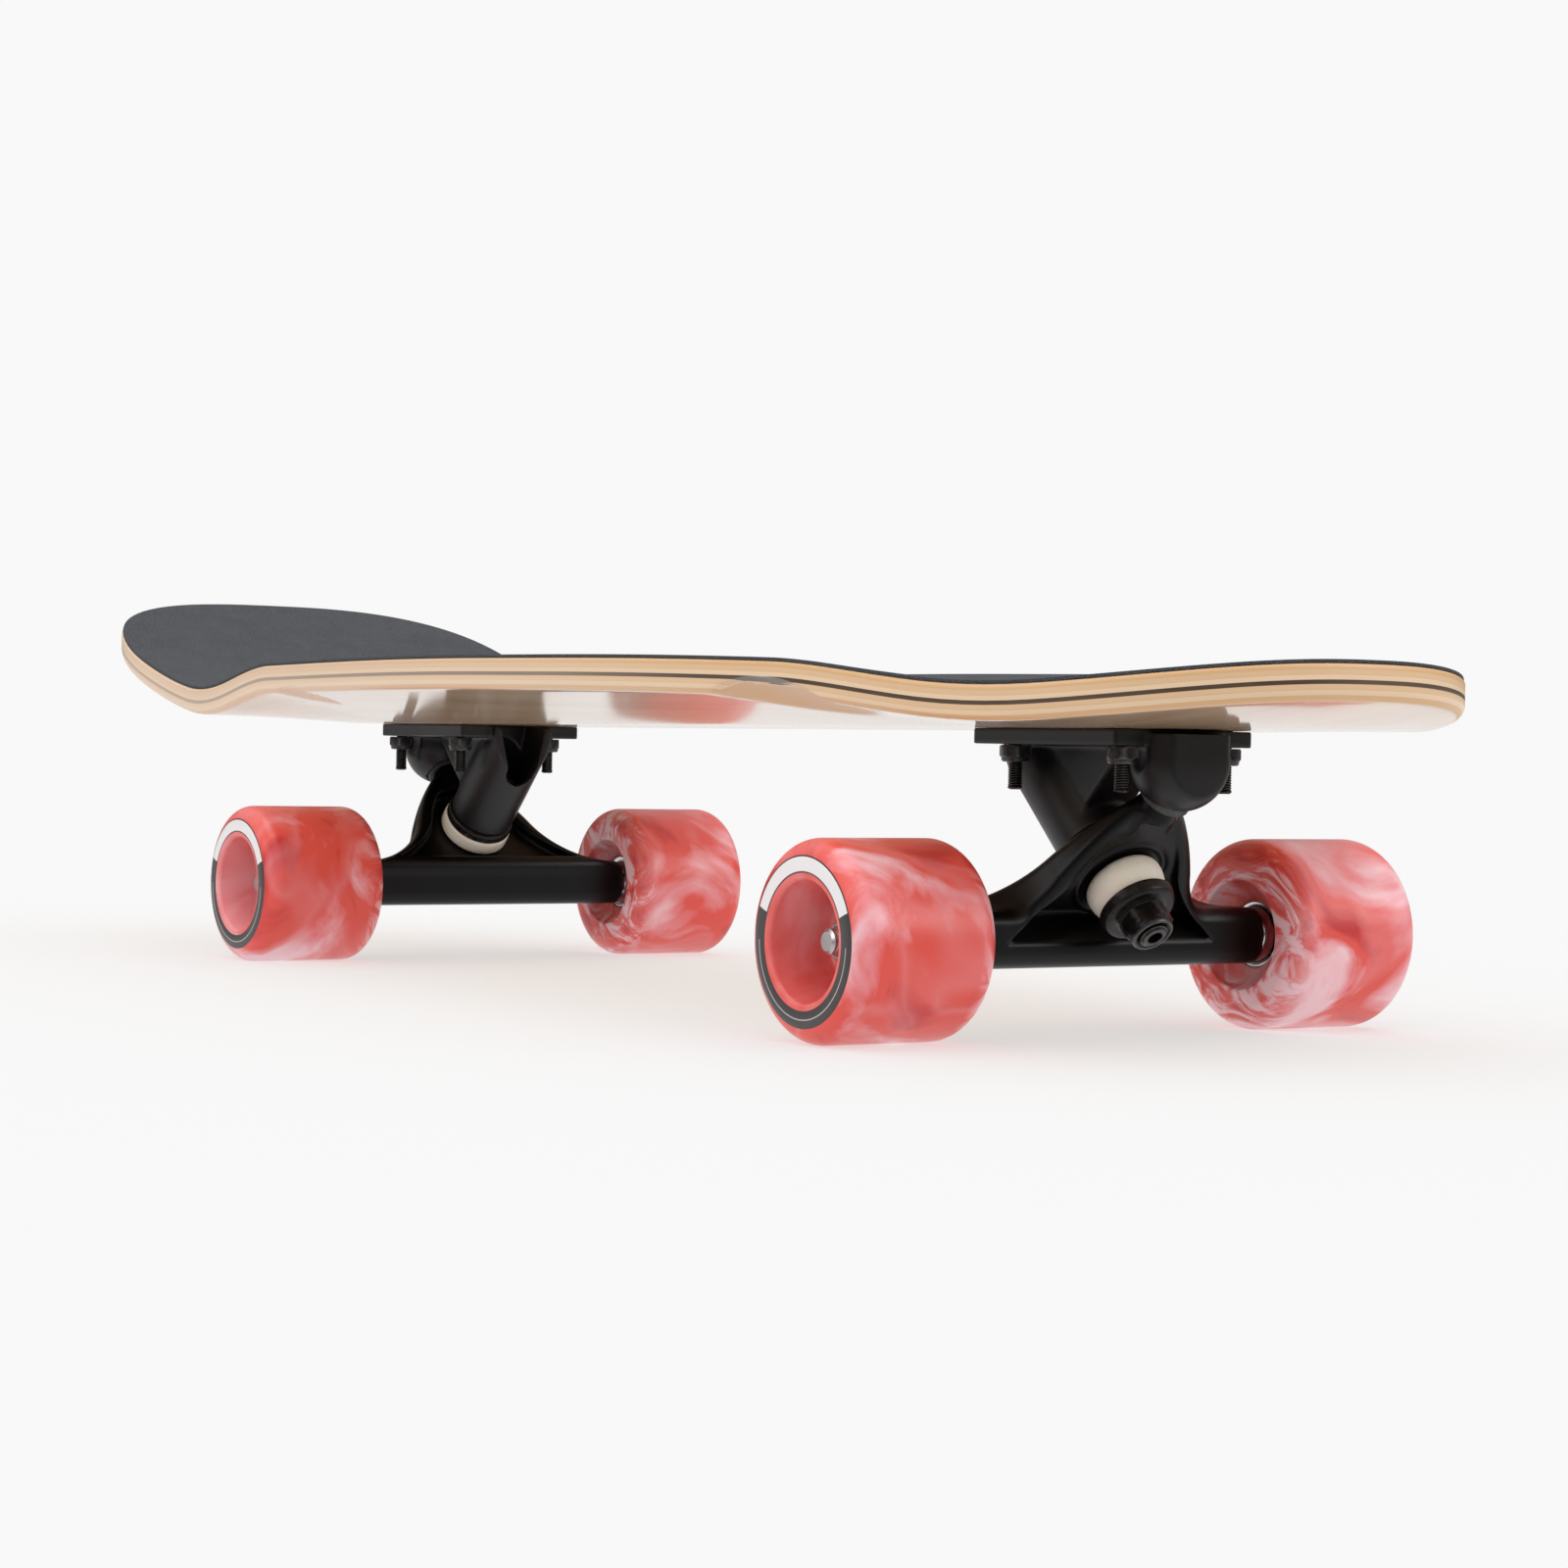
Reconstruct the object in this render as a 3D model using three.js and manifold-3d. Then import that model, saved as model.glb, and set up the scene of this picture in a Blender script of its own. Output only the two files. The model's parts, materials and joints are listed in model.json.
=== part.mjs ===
// Kicktail cruiser skateboard: a pressed maple deck on two steering trucks with four 63 mm wheels.
// Millimetres. X runs from the tail to the nose, Y to the left, Z up. The origin is on the ground, on the
// centreline, halfway along the deck.
import * as THREE from "three";
import { mergeVertices } from "three/addons/utils/BufferGeometryUtils.js";
import Module from "manifold-3d";

const wasm = await Module();
wasm.setup();

// ---------------------------------------------------------------- driving dimensions
const DECK_LENGTH = 760;
const DECK_HALF_WIDTH = 117;
const TAIL_HALF_WIDTH = 97.8;
const DECK_THICKNESS = 10.8;
const DECK_UNDERSIDE = 97.8; // height of the flat underside the trucks bolt to
const GRIP_THICKNESS = 0.8;
const CONCAVE_RISE = 11.5; // the rails stand this far above the middle of the deck
const CONCAVE_TILT = -0.001; // the rise changes by this share for each millimetre forward
const NOSE_LENGTH = 292; // rounded part of the outline
const NOSE_POWER = 2.44;
const TAIL_LENGTH = 84.7;
const TAIL_POWER = 2.78;
const KICK_RADIUS = 343;
const KICK_ANGLE = THREE.MathUtils.degToRad(21.1);
const NOSE_RADIUS = 555;
const NOSE_REACH = 99.6; // the nose starts to ease up this far behind its tip
const KICK_REACH = 245.7; // the kick starts this far behind the middle of the wheelbase
const WIDENING_LENGTH = 344.5; // from the tail's width to the full width
const CONCAVE_FLAT = 40; // half width of the level middle
const CONCAVE_POWER = 1.12;
const CONCAVE_BACK = [-295.3, 97.7]; // where the concave starts, from the middle of the wheelbase, and its run-in
const CONCAVE_FRONT = [281.3, 101.5]; // where it ends, and its run-out

const WELL_RADIUS = 66;
const WELL_START = 72; // from the centreline
const WELL_DEPTH = 5; // at the rail
const WELL_REACH = 177; // from the middle of the wheelbase

const MID_WHEELBASE = 45.5; // the trucks stand this far in front of the middle of the deck
const HALF_BOLT_CENTRES = 217.7; // from there to the centre of each bolt pattern
const BOLT_HALF_X = 27;
const BOLT_HALF_Y = 20.65;
const BOLT_RADIUS = 2.4;
const BOLT_HOLE_RADIUS = 2.8;
const BOLT_HEAD_RADIUS = 4.8;
const BOLT_HEAD_HEIGHT = 3.2;
const BOLT_END = -19.3; // below the top of the plate
const LOCKNUT_HEIGHT = 5.4;
const LOCKNUT_RADIUS = 5.5;

const GAP = 0.3; // between pieces that touch
const PLATE_TOP = DECK_UNDERSIDE - GAP;
const PLATE_LENGTH = 73;
const PLATE_WIDTH = 54.8;
const PLATE_CORNER = 0.8;
const PLATE_THICKNESS = 4.8;
const PLATE_SHIFT = -4.4; // the bolt pattern sits off the middle of the plate

const WHEEL_RADIUS = 31.5;
const WHEEL_WIDTH = 53;
const WHEEL_INNER_FACE = 59.6;
const WHEEL_LIP = 7.5;
const AXLE_RADIUS = 4;
const AXLE_HALF_LENGTH = 103.6;
const HANGER_HALF_LENGTH = 65;
const BEARING_RADIUS = 11;
const BEARING_WIDTH = 7;
const INNER_BEARING_FACE = 67.2;
const BEARING_SPACE = 10; // between the two bearings of a wheel

// Where the kingpin crosses the steering axis, in the truck's own frame:
// origin at the middle of the bolt pattern on top of the plate, +X towards the end of the deck.
const RING_X = -0.8;
const RING_Z = -44.2;
const AXLE_X = -10.3;
const AXLE_Z = WHEEL_RADIUS - PLATE_TOP;
const STEER_TILT = Math.PI / 4;

const KINGPIN_RADIUS = 4.75;
const UPPER_BUSHING_RADIUS = 14.6;
const LOWER_BUSHING_RADIUS = 12.8;
const BUSHING_BORE = 5.1;
const WASHER_RADIUS = 14;
const WASHER_THICKNESS = 2;
const BOSS_RADIUS = 13.4; // kingpin boss of the baseplate
const BOSS_END = 10.6; // its lower end, above the ring's centre
const BOSS_FACE = -44; // its flat inner end
const WEDGE_END = 17; // lower side of the web from the boss to the pivot housing, above the ring's centre
const WEDGE_HALF_WIDTH = 9.4;
const HEAD_SEAT = BOSS_END + 13.5; // the kingpin's head sits here

const BAR_HALF = 9.2; // half the height and depth of the hanger's axle bar
const BAR_CORNER = 5;
const WEB_TOP = -0.4; // the hanger's web, clamped between the two bushings
const WEB_BOTTOM = -3.2;
const ARM_TOP = 4.3;
const ARM_UNDERSIDE = -7.5; // at the kingpin; the arms grow thinner towards the pivot
const ARM_SLOPE = 0.225;

// facets round a full turn
const FINE = 28;
const MEDIUM = 20;
const COARSE = 14;
const SMALL = 10;
const SHEET_STATIONS = 38; // along the deck
const SHEET_STRIPS = 8; // across it

// ---------------------------------------------------------------- solids
function solid(geometry, matrix) {
  const g = geometry.index ? geometry.toNonIndexed() : geometry.clone();
  const bare = new THREE.BufferGeometry();
  bare.setAttribute("position", g.getAttribute("position"));
  if (matrix) bare.applyMatrix4(matrix);
  const merged = mergeVertices(bare, 1e-3);
  return new wasm.Manifold(
    new wasm.Mesh({
      numProp: 3,
      vertProperties: merged.attributes.position.array,
      triVerts: new Uint32Array(merged.index.array),
    }),
  );
}

function geometryOf(manifold) {
  const m = manifold.getMesh();
  const positions = new Float32Array(m.numVert * 3);
  for (let i = 0; i < m.numVert; i++) {
    positions.set(m.vertProperties.subarray(i * m.numProp, i * m.numProp + 3), i * 3);
  }
  const g = new THREE.BufferGeometry();
  g.setAttribute("position", new THREE.BufferAttribute(positions, 3));
  g.setIndex(new THREE.BufferAttribute(m.triVerts, 1));
  return g;
}

const shift = (x, y, z) => new THREE.Matrix4().makeTranslation(x, y, z);
const turnX = (angle) => new THREE.Matrix4().makeRotationX(angle);

// A solid turned about +Z from a profile of [radius, height] points, listed from the bottom up.
function turned(profile, segments, matrix) {
  const points = profile.map(([r, z]) => new THREE.Vector2(r, z));
  const g = new THREE.LatheGeometry(points, segments);
  g.rotateX(Math.PI / 2);
  return solid(g, matrix);
}

// The same for a ring, whose profile closes on itself clear of the axis.
function turnedRing(profile, segments, matrix) {
  return turned([...profile, profile[0]], segments, matrix);
}

function rod(radius, bottom, top, segments, matrix) {
  return turned([[0, bottom], [radius, bottom], [radius, top], [0, top]], segments, matrix);
}

function plateOf(shape, bottom, top, matrix) {
  const g = new THREE.ExtrudeGeometry(shape, { depth: top - bottom, bevelEnabled: false, curveSegments: 4 });
  g.translate(0, 0, bottom);
  return solid(g, matrix);
}

function roundedRectangle(halfX, halfY, radius) {
  const s = new THREE.Shape();
  s.moveTo(-halfX + radius, -halfY);
  s.lineTo(halfX - radius, -halfY);
  s.absarc(halfX - radius, -halfY + radius, radius, -Math.PI / 2, 0);
  s.lineTo(halfX, halfY - radius);
  s.absarc(halfX - radius, halfY - radius, radius, 0, Math.PI / 2);
  s.lineTo(-halfX + radius, halfY);
  s.absarc(-halfX + radius, halfY - radius, radius, Math.PI / 2, Math.PI);
  s.lineTo(-halfX, -halfY + radius);
  s.absarc(-halfX + radius, -halfY + radius, radius, Math.PI, Math.PI * 1.5);
  return s;
}

function hexagon(radius, bottom, top, matrix) {
  return rod(radius, bottom, top, 6, matrix);
}

// ---------------------------------------------------------------- deck
const NOSE_TIP = DECK_LENGTH / 2;
const TAIL_TIP = -DECK_LENGTH / 2;
const NOSE_ARC_START = NOSE_TIP - NOSE_REACH;
const KICK_START = MID_WHEELBASE - KICK_REACH;

const smooth = (t) => {
  const c = Math.min(1, Math.max(0, t));
  return c * c * (3 - 2 * c);
};

function halfWidth(x) {
  if (x > NOSE_TIP - NOSE_LENGTH) {
    const t = (x - NOSE_TIP + NOSE_LENGTH) / NOSE_LENGTH;
    return DECK_HALF_WIDTH * Math.pow(Math.max(0, 1 - Math.pow(t, NOSE_POWER)), 1 / NOSE_POWER);
  }
  if (x < TAIL_TIP + TAIL_LENGTH) {
    const t = (TAIL_TIP + TAIL_LENGTH - x) / TAIL_LENGTH;
    return TAIL_HALF_WIDTH * Math.pow(Math.max(0, 1 - Math.pow(t, TAIL_POWER)), 1 / TAIL_POWER);
  }
  const widening = smooth((x - TAIL_TIP - TAIL_LENGTH) / WIDENING_LENGTH);
  return TAIL_HALF_WIDTH + (DECK_HALF_WIDTH - TAIL_HALF_WIDTH) * widening;
}

// Height of the underside on the centreline: level between the trucks, kicked up behind, easing up in front.
function spine(x) {
  if (x > NOSE_ARC_START) {
    return (x - NOSE_ARC_START) ** 2 / (2 * NOSE_RADIUS);
  }
  if (x < KICK_START) {
    const reach = KICK_START - x;
    const arcReach = KICK_RADIUS * Math.sin(KICK_ANGLE);
    if (reach < arcReach) {
      return KICK_RADIUS - Math.sqrt(KICK_RADIUS ** 2 - reach ** 2);
    }
    return KICK_RADIUS * (1 - Math.cos(KICK_ANGLE)) + (reach - arcReach) * Math.tan(KICK_ANGLE);
  }
  return 0;
}

// The concave fades out towards the kick and towards the nose.
function concave(x, y) {
  const behind = smooth((x - MID_WHEELBASE - CONCAVE_BACK[0]) / CONCAVE_BACK[1]);
  const ahead = smooth((MID_WHEELBASE + CONCAVE_FRONT[0] - x) / CONCAVE_FRONT[1]);
  const across = Math.max(0, Math.abs(y) - CONCAVE_FLAT) / (DECK_HALF_WIDTH - CONCAVE_FLAT);
  const rise = CONCAVE_RISE * (1 + CONCAVE_TILT * (x - MID_WHEELBASE));
  return rise * behind * ahead * across ** CONCAVE_POWER;
}

const underside = (x, y) => DECK_UNDERSIDE + spine(x) + concave(x, y);

// A sheet with the deck's outline that follows it between two heights above its underside.
function deckSheet(lower, upper) {
  const g = new THREE.BoxGeometry(2, 2, 2, SHEET_STATIONS, SHEET_STRIPS, 1);
  const p = g.getAttribute("position");
  const half = DECK_LENGTH / 2;
  const lastAngle = 0.95 * Math.PI / 2; // the stations crowd together towards the ends
  const endX = half * Math.sin(lastAngle);
  for (let i = 0; i < p.count; i++) {
    const u = p.getX(i);
    const v = p.getY(i);
    const station = half * Math.sin(u * lastAngle);
    const bulge = Math.abs(u) > 0.999 ? Math.sign(u) * (half - endX) * (1 - v * v) : 0;
    const y = v * halfWidth(station);
    const x = station + bulge;
    p.setXYZ(i, x, y, underside(x, y) + (p.getZ(i) < 0 ? lower : upper));
  }
  return solid(g);
}

// The four bolts of a truck: a name from the deck's point of view, and the place.
function boltPlaces(truckX, facing) {
  const places = [];
  for (const sx of [1, -1]) {
    for (const sy of [-1, 1]) {
      const name = (sx > 0 ? "outer_" : "inner_") + (facing * sy > 0 ? "left" : "right");
      places.push({ name, x: truckX + facing * sx * BOLT_HALF_X, y: facing * sy * BOLT_HALF_Y });
    }
  }
  return places;
}

const TRUCKS = [
  { name: "front", x: MID_WHEELBASE + HALF_BOLT_CENTRES, facing: 1 },
  { name: "rear", x: MID_WHEELBASE - HALF_BOLT_CENTRES, facing: -1 },
];

// Shallow scoops sanded into the underside of the rails where a wheel comes up in a hard turn.
function wheelWell(x, side) {
  const start = concave(MID_WHEELBASE, WELL_START);
  const rail = concave(MID_WHEELBASE, DECK_HALF_WIDTH) + WELL_DEPTH;
  const slope = Math.atan2(rail - start, DECK_HALF_WIDTH - WELL_START);
  // The roller's top line starts on the underside at WELL_START and climbs to the well's depth at the rail.
  const place = shift(x, side * WELL_START, DECK_UNDERSIDE + start)
    .multiply(turnX(side * slope))
    .multiply(shift(0, 0, -WELL_RADIUS))
    .multiply(turnX(-side * Math.PI / 2));
  return rod(WELL_RADIUS, -20, 60, 64, place);
}

function makeDeck() {
  let deck = deckSheet(0, DECK_THICKNESS);
  for (const truck of TRUCKS) {
    for (const side of [1, -1]) {
      deck = deck.subtract(wheelWell(MID_WHEELBASE + truck.facing * WELL_REACH, side));
    }
    for (const { x, y } of boltPlaces(truck.x, truck.facing)) {
      deck = deck.subtract(rod(BOLT_HOLE_RADIUS, 60, 140, SMALL, shift(x, y, 0)));
      const sinkTop = DECK_UNDERSIDE + DECK_THICKNESS;
      const sink = [[0, -BOLT_HEAD_HEIGHT - 1], [BOLT_HOLE_RADIUS, -BOLT_HEAD_HEIGHT],
        [BOLT_HEAD_RADIUS + GAP, 0], [BOLT_HEAD_RADIUS + GAP, 9], [0, 9]];
      deck = deck.subtract(turned(sink, SMALL, shift(x, y, sinkTop - 0.4)));
    }
  }
  return deck;
}

function makeGrip() {
  const low = DECK_THICKNESS + GAP;
  let grip = deckSheet(low - 1, low + GRIP_THICKNESS).subtract(deckSheet(0, low));
  for (const truck of TRUCKS) {
    for (const { x, y } of boltPlaces(truck.x, truck.facing)) {
      grip = grip.subtract(rod(BOLT_HEAD_RADIUS + GAP, 60, 140, SMALL, shift(x, y, 0)));
    }
  }
  return grip;
}

// ---------------------------------------------------------------- truck pieces, in the truck's own frame
// The kingpin frame: origin where the kingpin crosses the web, +Z up along the kingpin, +X along the steering
// axis towards the pivot.
const KINGPIN = new THREE.Matrix4()
  .makeRotationY(-STEER_TILT)
  .premultiply(shift(RING_X, 0, RING_Z));
// The steering frame: the same place with +Z along the steering axis.
const STEERING = KINGPIN.clone().multiply(new THREE.Matrix4().makeRotationY(Math.PI / 2));

const PIVOT_OPENING = 33; // along the steering axis from the ring's centre
const PIVOT_TIP = 43;
const PIVOT_RADIUS = 6;
const CUP_RADIUS = 8.6;
const CUP_END = 45.6;

const DOME_X = 30;
const DOME_Z = -9.6;
const DOME_RADIUS = 15.4;
const DOME_FACE = 40.3; // flat outer face of the pivot housing
const ROOT = -1; // the boss and the housing start inside the plate
const NUT_CLEARANCE = 7.4;
const NUT_CLEARANCE_END = -12;
const POCKET_END = -27;

// All the space between two X values below the plate's top skin.
function underPlate(fromX, toX) {
  const box = new THREE.BoxGeometry(toX - fromX, 80, 60);
  return solid(box, shift((fromX + toX) / 2, 0, ROOT - 30));
}

function makeBaseplate() {
  const plateShape = roundedRectangle(PLATE_LENGTH / 2, PLATE_WIDTH / 2, PLATE_CORNER);
  const boss = rod(BOSS_RADIUS, BOSS_END, 75, MEDIUM, KINGPIN).intersect(underPlate(BOSS_FACE, 40));
  const wedgeBox = new THREE.BoxGeometry(60, 2 * WEDGE_HALF_WIDTH, 60);
  const wedge = solid(wedgeBox, KINGPIN.clone().multiply(shift(30, 0, WEDGE_END + 30)))
    .intersect(underPlate(BOSS_FACE, DOME_X));
  // pivot housing: a dome with an upright neck, flat at its outer face
  const dome = solid(new THREE.SphereGeometry(DOME_RADIUS, MEDIUM, COARSE), shift(DOME_X, 0, DOME_Z));
  const neck = rod(DOME_RADIUS - 0.1, DOME_Z, ROOT, MEDIUM, shift(DOME_X, 0, 0));
  let body = boss.add(wedge).add(dome.add(neck).intersect(underPlate(-10, DOME_FACE)));
  for (const { x, y } of boltPlaces(0, 1)) {
    body = body.subtract(rod(NUT_CLEARANCE, NUT_CLEARANCE_END, 0, MEDIUM, shift(x, y, 0)));
  }
  body = body.add(plateOf(plateShape, -PLATE_THICKNESS, 0, shift(PLATE_SHIFT, 0, 0)));
  // pocket for the kingpin's head, open at the inner end and towards the deck
  const pocket = new THREE.Shape();
  pocket.moveTo(-9.8, 2);
  pocket.lineTo(-9.5, -4.8);
  pocket.lineTo(-8.2, -12.4);
  pocket.lineTo(-6.2, -18.9);
  pocket.quadraticCurveTo(-4.2, -24.6, 0, -24.6);
  pocket.quadraticCurveTo(4.2, -24.6, 6.2, -18.9);
  pocket.lineTo(8.2, -12.4);
  pocket.lineTo(9.5, -4.8);
  pocket.lineTo(9.8, 2);
  const across = new THREE.Matrix4().makeBasis(
    new THREE.Vector3(0, 1, 0), new THREE.Vector3(0, 0, 1), new THREE.Vector3(1, 0, 0));
  body = body.subtract(plateOf(pocket, BOSS_FACE - 2, POCKET_END, across));
  const headRoom = solid(new THREE.BoxGeometry(60, 2 * 9, 60), shift(-40, 0, -20));
  body = body.subtract(rod(9.6, HEAD_SEAT, 80, MEDIUM, KINGPIN).intersect(headRoom));
  body = body.subtract(rod(KINGPIN_RADIUS + GAP, 0, 80, COARSE, KINGPIN));
  body = body.subtract(rod(CUP_RADIUS + GAP, 20, CUP_END + GAP, COARSE, STEERING));
  for (const { x, y } of boltPlaces(0, 1)) {
    body = body.subtract(rod(BOLT_HOLE_RADIUS, -30, 5, SMALL, shift(x, y, 0)));
  }
  return body;
}

function makePivotCup() {
  const floor = CUP_END - 1.6;
  const inside = PIVOT_RADIUS + GAP;
  return turned([[0, floor], [inside, floor], [inside, PIVOT_OPENING], [CUP_RADIUS, PIVOT_OPENING],
    [CUP_RADIUS, CUP_END], [0, CUP_END]], COARSE, STEERING);
}

const at = (x, y) => new THREE.Vector2(x, y);

function bend(start, control, end, steps) {
  return new THREE.QuadraticBezierCurve(start, control, end).getPoints(steps);
}

// A closed outline from its half on the +Y side, listed from the axle end towards the pivot.
function mirrored(half) {
  return new THREE.Shape([...half, ...half.slice().reverse().map((p) => at(p.x, -p.y))]);
}

// Outlines in the plane of the hanger's web: x along the steering axis, y across.
const HANGER_OUTLINE = [at(-24, 61), ...bend(at(-21, 57), at(-15.5, 33.5), at(3, 26.5), 6),
  ...bend(at(3, 26.5), at(16, 20.5), at(25, 13), 4).slice(1), at(28, 10.5), at(30, 7)];
const LOWER_RECESS = [...bend(at(-16.5, 41), at(-9, 27), at(2, 20.5), 4),
  ...bend(at(2, 20.5), at(14, 16), at(21, 11), 3).slice(1), at(25, 7.5), at(27, 3)];
const UPPER_RECESS = [...bend(at(-18.5, 42), at(-10, 26), at(2, 20), 4),
  ...bend(at(2, 20), at(10, 17), at(17, 12), 3).slice(1), at(19.5, 8), at(20.5, 3)];

// Lays +Z along -Y.
const ALONG_Y = new THREE.Matrix4().makeBasis(
  new THREE.Vector3(1, 0, 0), new THREE.Vector3(0, 0, 1), new THREE.Vector3(0, -1, 0));

function makeHanger() {
  const bottom = ARM_UNDERSIDE - 8;
  let body = plateOf(mirrored(HANGER_OUTLINE), bottom, ARM_TOP, KINGPIN);
  const slope = new THREE.Matrix4().makeRotationY(-Math.atan(ARM_SLOPE));
  const beneath = KINGPIN.clone()
    .multiply(shift(0, 0, ARM_UNDERSIDE))
    .multiply(slope)
    .multiply(shift(0, 0, -20));
  body = body.subtract(solid(new THREE.BoxGeometry(120, 160, 40), beneath));
  body = body.subtract(plateOf(mirrored(UPPER_RECESS), WEB_TOP, 30, KINGPIN));
  // Everything beyond the axle bar's own underside and inner side is trimmed off the frame.
  const trim = BAR_HALF - 0.2 + 20;
  body = body.subtract(solid(new THREE.BoxGeometry(120, 160, 40), shift(AXLE_X, 0, AXLE_Z - trim)));
  body = body.subtract(solid(new THREE.BoxGeometry(40, 160, 120), shift(AXLE_X - trim, 0, AXLE_Z)));
  const alongAxle = shift(AXLE_X, 0, AXLE_Z).multiply(ALONG_Y);
  const endRound = 4.5;
  const full = HANGER_HALF_LENGTH - endRound;
  const middle = plateOf(roundedRectangle(BAR_HALF, BAR_HALF, BAR_CORNER), -full, full, alongAxle);
  const tips = plateOf(roundedRectangle(BAR_HALF - 2.4, BAR_HALF - 2.4, BAR_CORNER - 1),
    -HANGER_HALF_LENGTH, HANGER_HALF_LENGTH, alongAxle);
  body = body.add(wasm.Manifold.hull([middle, tips]));
  // pivot nose
  const noseEnd = PIVOT_TIP - 5;
  const nose = [[0, 20], [7.2, 20], [7.2, 28.5], [PIVOT_RADIUS, 32], [PIVOT_RADIUS, noseEnd]];
  for (let i = 1; i < 5; i++) {
    const a = (i / 5) * Math.PI / 2;
    nose.push([PIVOT_RADIUS * Math.cos(a), noseEnd + (PIVOT_TIP - noseEnd) * Math.sin(a)]);
  }
  nose.push([0, PIVOT_TIP]);
  body = body.add(turned(nose, COARSE, STEERING));
  body = body.subtract(plateOf(mirrored(LOWER_RECESS), -40, WEB_BOTTOM, KINGPIN));
  body = body.subtract(rod(6.6, -10, 10, COARSE, KINGPIN));
  return body.subtract(rod(AXLE_RADIUS + 0.15, -90, 90, COARSE, alongAxle));
}

function makeAxle() {
  const half = AXLE_HALF_LENGTH;
  const profile = [[0, -half], [3.2, -half], [AXLE_RADIUS, -half + 0.9],
    [AXLE_RADIUS, half - 0.9], [3.2, half], [0, half]];
  return turned(profile, COARSE, shift(AXLE_X, 0, AXLE_Z).multiply(ALONG_Y));
}

const LOWER_WASHER_TOP = -16.6;
const NUT_TOP = -19.6;
const NUT_HEIGHT = 8.4;
const NUT_LOW = NUT_TOP - NUT_HEIGHT;

function makeKingpin() {
  const shank = rod(KINGPIN_RADIUS, NUT_LOW - 1, HEAD_SEAT + 0.5, COARSE, KINGPIN);
  const head = hexagon(8, HEAD_SEAT + GAP, HEAD_SEAT + 6, KINGPIN);
  const socket = hexagon(2.6, NUT_LOW - 2, NUT_LOW + 2, KINGPIN);
  return shank.add(head).subtract(socket);
}

function makeKingpinNut() {
  const hex = hexagon(8.1, NUT_LOW + 2.6, NUT_TOP, KINGPIN);
  const collar = turned([[0, NUT_LOW], [6.2, NUT_LOW], [7, NUT_LOW + 1], [7, NUT_TOP - 1], [0, NUT_TOP - 1]],
    COARSE, KINGPIN);
  return hex.add(collar).subtract(rod(KINGPIN_RADIUS + 0.25, -60, 0, COARSE, KINGPIN));
}

function makeUpperBushing() {
  const low = WEB_TOP + GAP;
  const high = BOSS_END - GAP - WASHER_THICKNESS - GAP;
  const r = UPPER_BUSHING_RADIUS;
  return turnedRing([[BUSHING_BORE, low], [r - 1.2, low], [r, low + 1.2], [r, low + 4], [r - 1, high - 1],
    [r - 1.8, high], [BUSHING_BORE, high]], MEDIUM, KINGPIN);
}

function makeUpperWasher() {
  const low = BOSS_END - GAP - WASHER_THICKNESS;
  const high = low + WASHER_THICKNESS;
  const r = WASHER_RADIUS;
  return turnedRing([[BUSHING_BORE, low], [r - 0.4, low], [r, low + 0.5], [r, high - 0.4], [r - 0.4, high],
    [BUSHING_BORE, high]], MEDIUM, KINGPIN);
}

function makeLowerBushing() {
  const high = WEB_BOTTOM - GAP;
  const low = LOWER_WASHER_TOP + GAP;
  const r = LOWER_BUSHING_RADIUS;
  return turnedRing([[BUSHING_BORE, low], [9.6, low], [10.4, low + 1], [r - 0.8, low + 6], [r, high - 5],
    [r, high - 3], [r - 1.2, high - 0.9], [r - 3, high], [BUSHING_BORE, high]], MEDIUM, KINGPIN);
}

function makeLowerWasher() {
  const low = NUT_TOP + GAP;
  const top = LOWER_WASHER_TOP;
  return turnedRing([[BUSHING_BORE, low], [10.6, low], [12.3, low + 1.2], [12.8, top + 1.2],
    [12.2, top + 1.4], [10.9, top + 0.2], [10.4, top], [BUSHING_BORE, top]], MEDIUM, KINGPIN);
}

function makeBolt(x, y) {
  const top = DECK_THICKNESS + 2 * GAP; // flush with the deck's top face, just under the grip's
  const place = shift(x, y, 0);
  const bolt = turned([[0, BOLT_END], [1.9, BOLT_END], [BOLT_RADIUS, BOLT_END + 0.6],
    [BOLT_RADIUS, top - BOLT_HEAD_HEIGHT], [BOLT_HEAD_RADIUS, top - 0.5], [BOLT_HEAD_RADIUS, top], [0, top]],
  SMALL, place);
  return bolt.subtract(hexagon(1.7, top - 2, top + 1, place));
}

function makeLocknut(x, y) {
  const top = -PLATE_THICKNESS - GAP;
  const place = shift(x, y, 0);
  const hex = hexagon(LOCKNUT_RADIUS, top - LOCKNUT_HEIGHT + 1.5, top, place);
  const collar = turned([[0, top - LOCKNUT_HEIGHT], [3.9, top - LOCKNUT_HEIGHT],
    [4.5, top - LOCKNUT_HEIGHT + 0.6],
    [4.5, top - 1], [0, top - 1]], SMALL, place);
  return hex.add(collar).subtract(rod(BOLT_RADIUS + 0.2, -40, 0, SMALL, place));
}

// ---------------------------------------------------------------- wheel pieces, in the wheel's own frame
// +Z along the axle, outwards; the origin is on the axle in the middle of the truck.
const WHEEL_OUTER_FACE = WHEEL_INNER_FACE + WHEEL_WIDTH;
const OUTER_BEARING_FACE = INNER_BEARING_FACE + 2 * BEARING_WIDTH + BEARING_SPACE;

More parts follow.
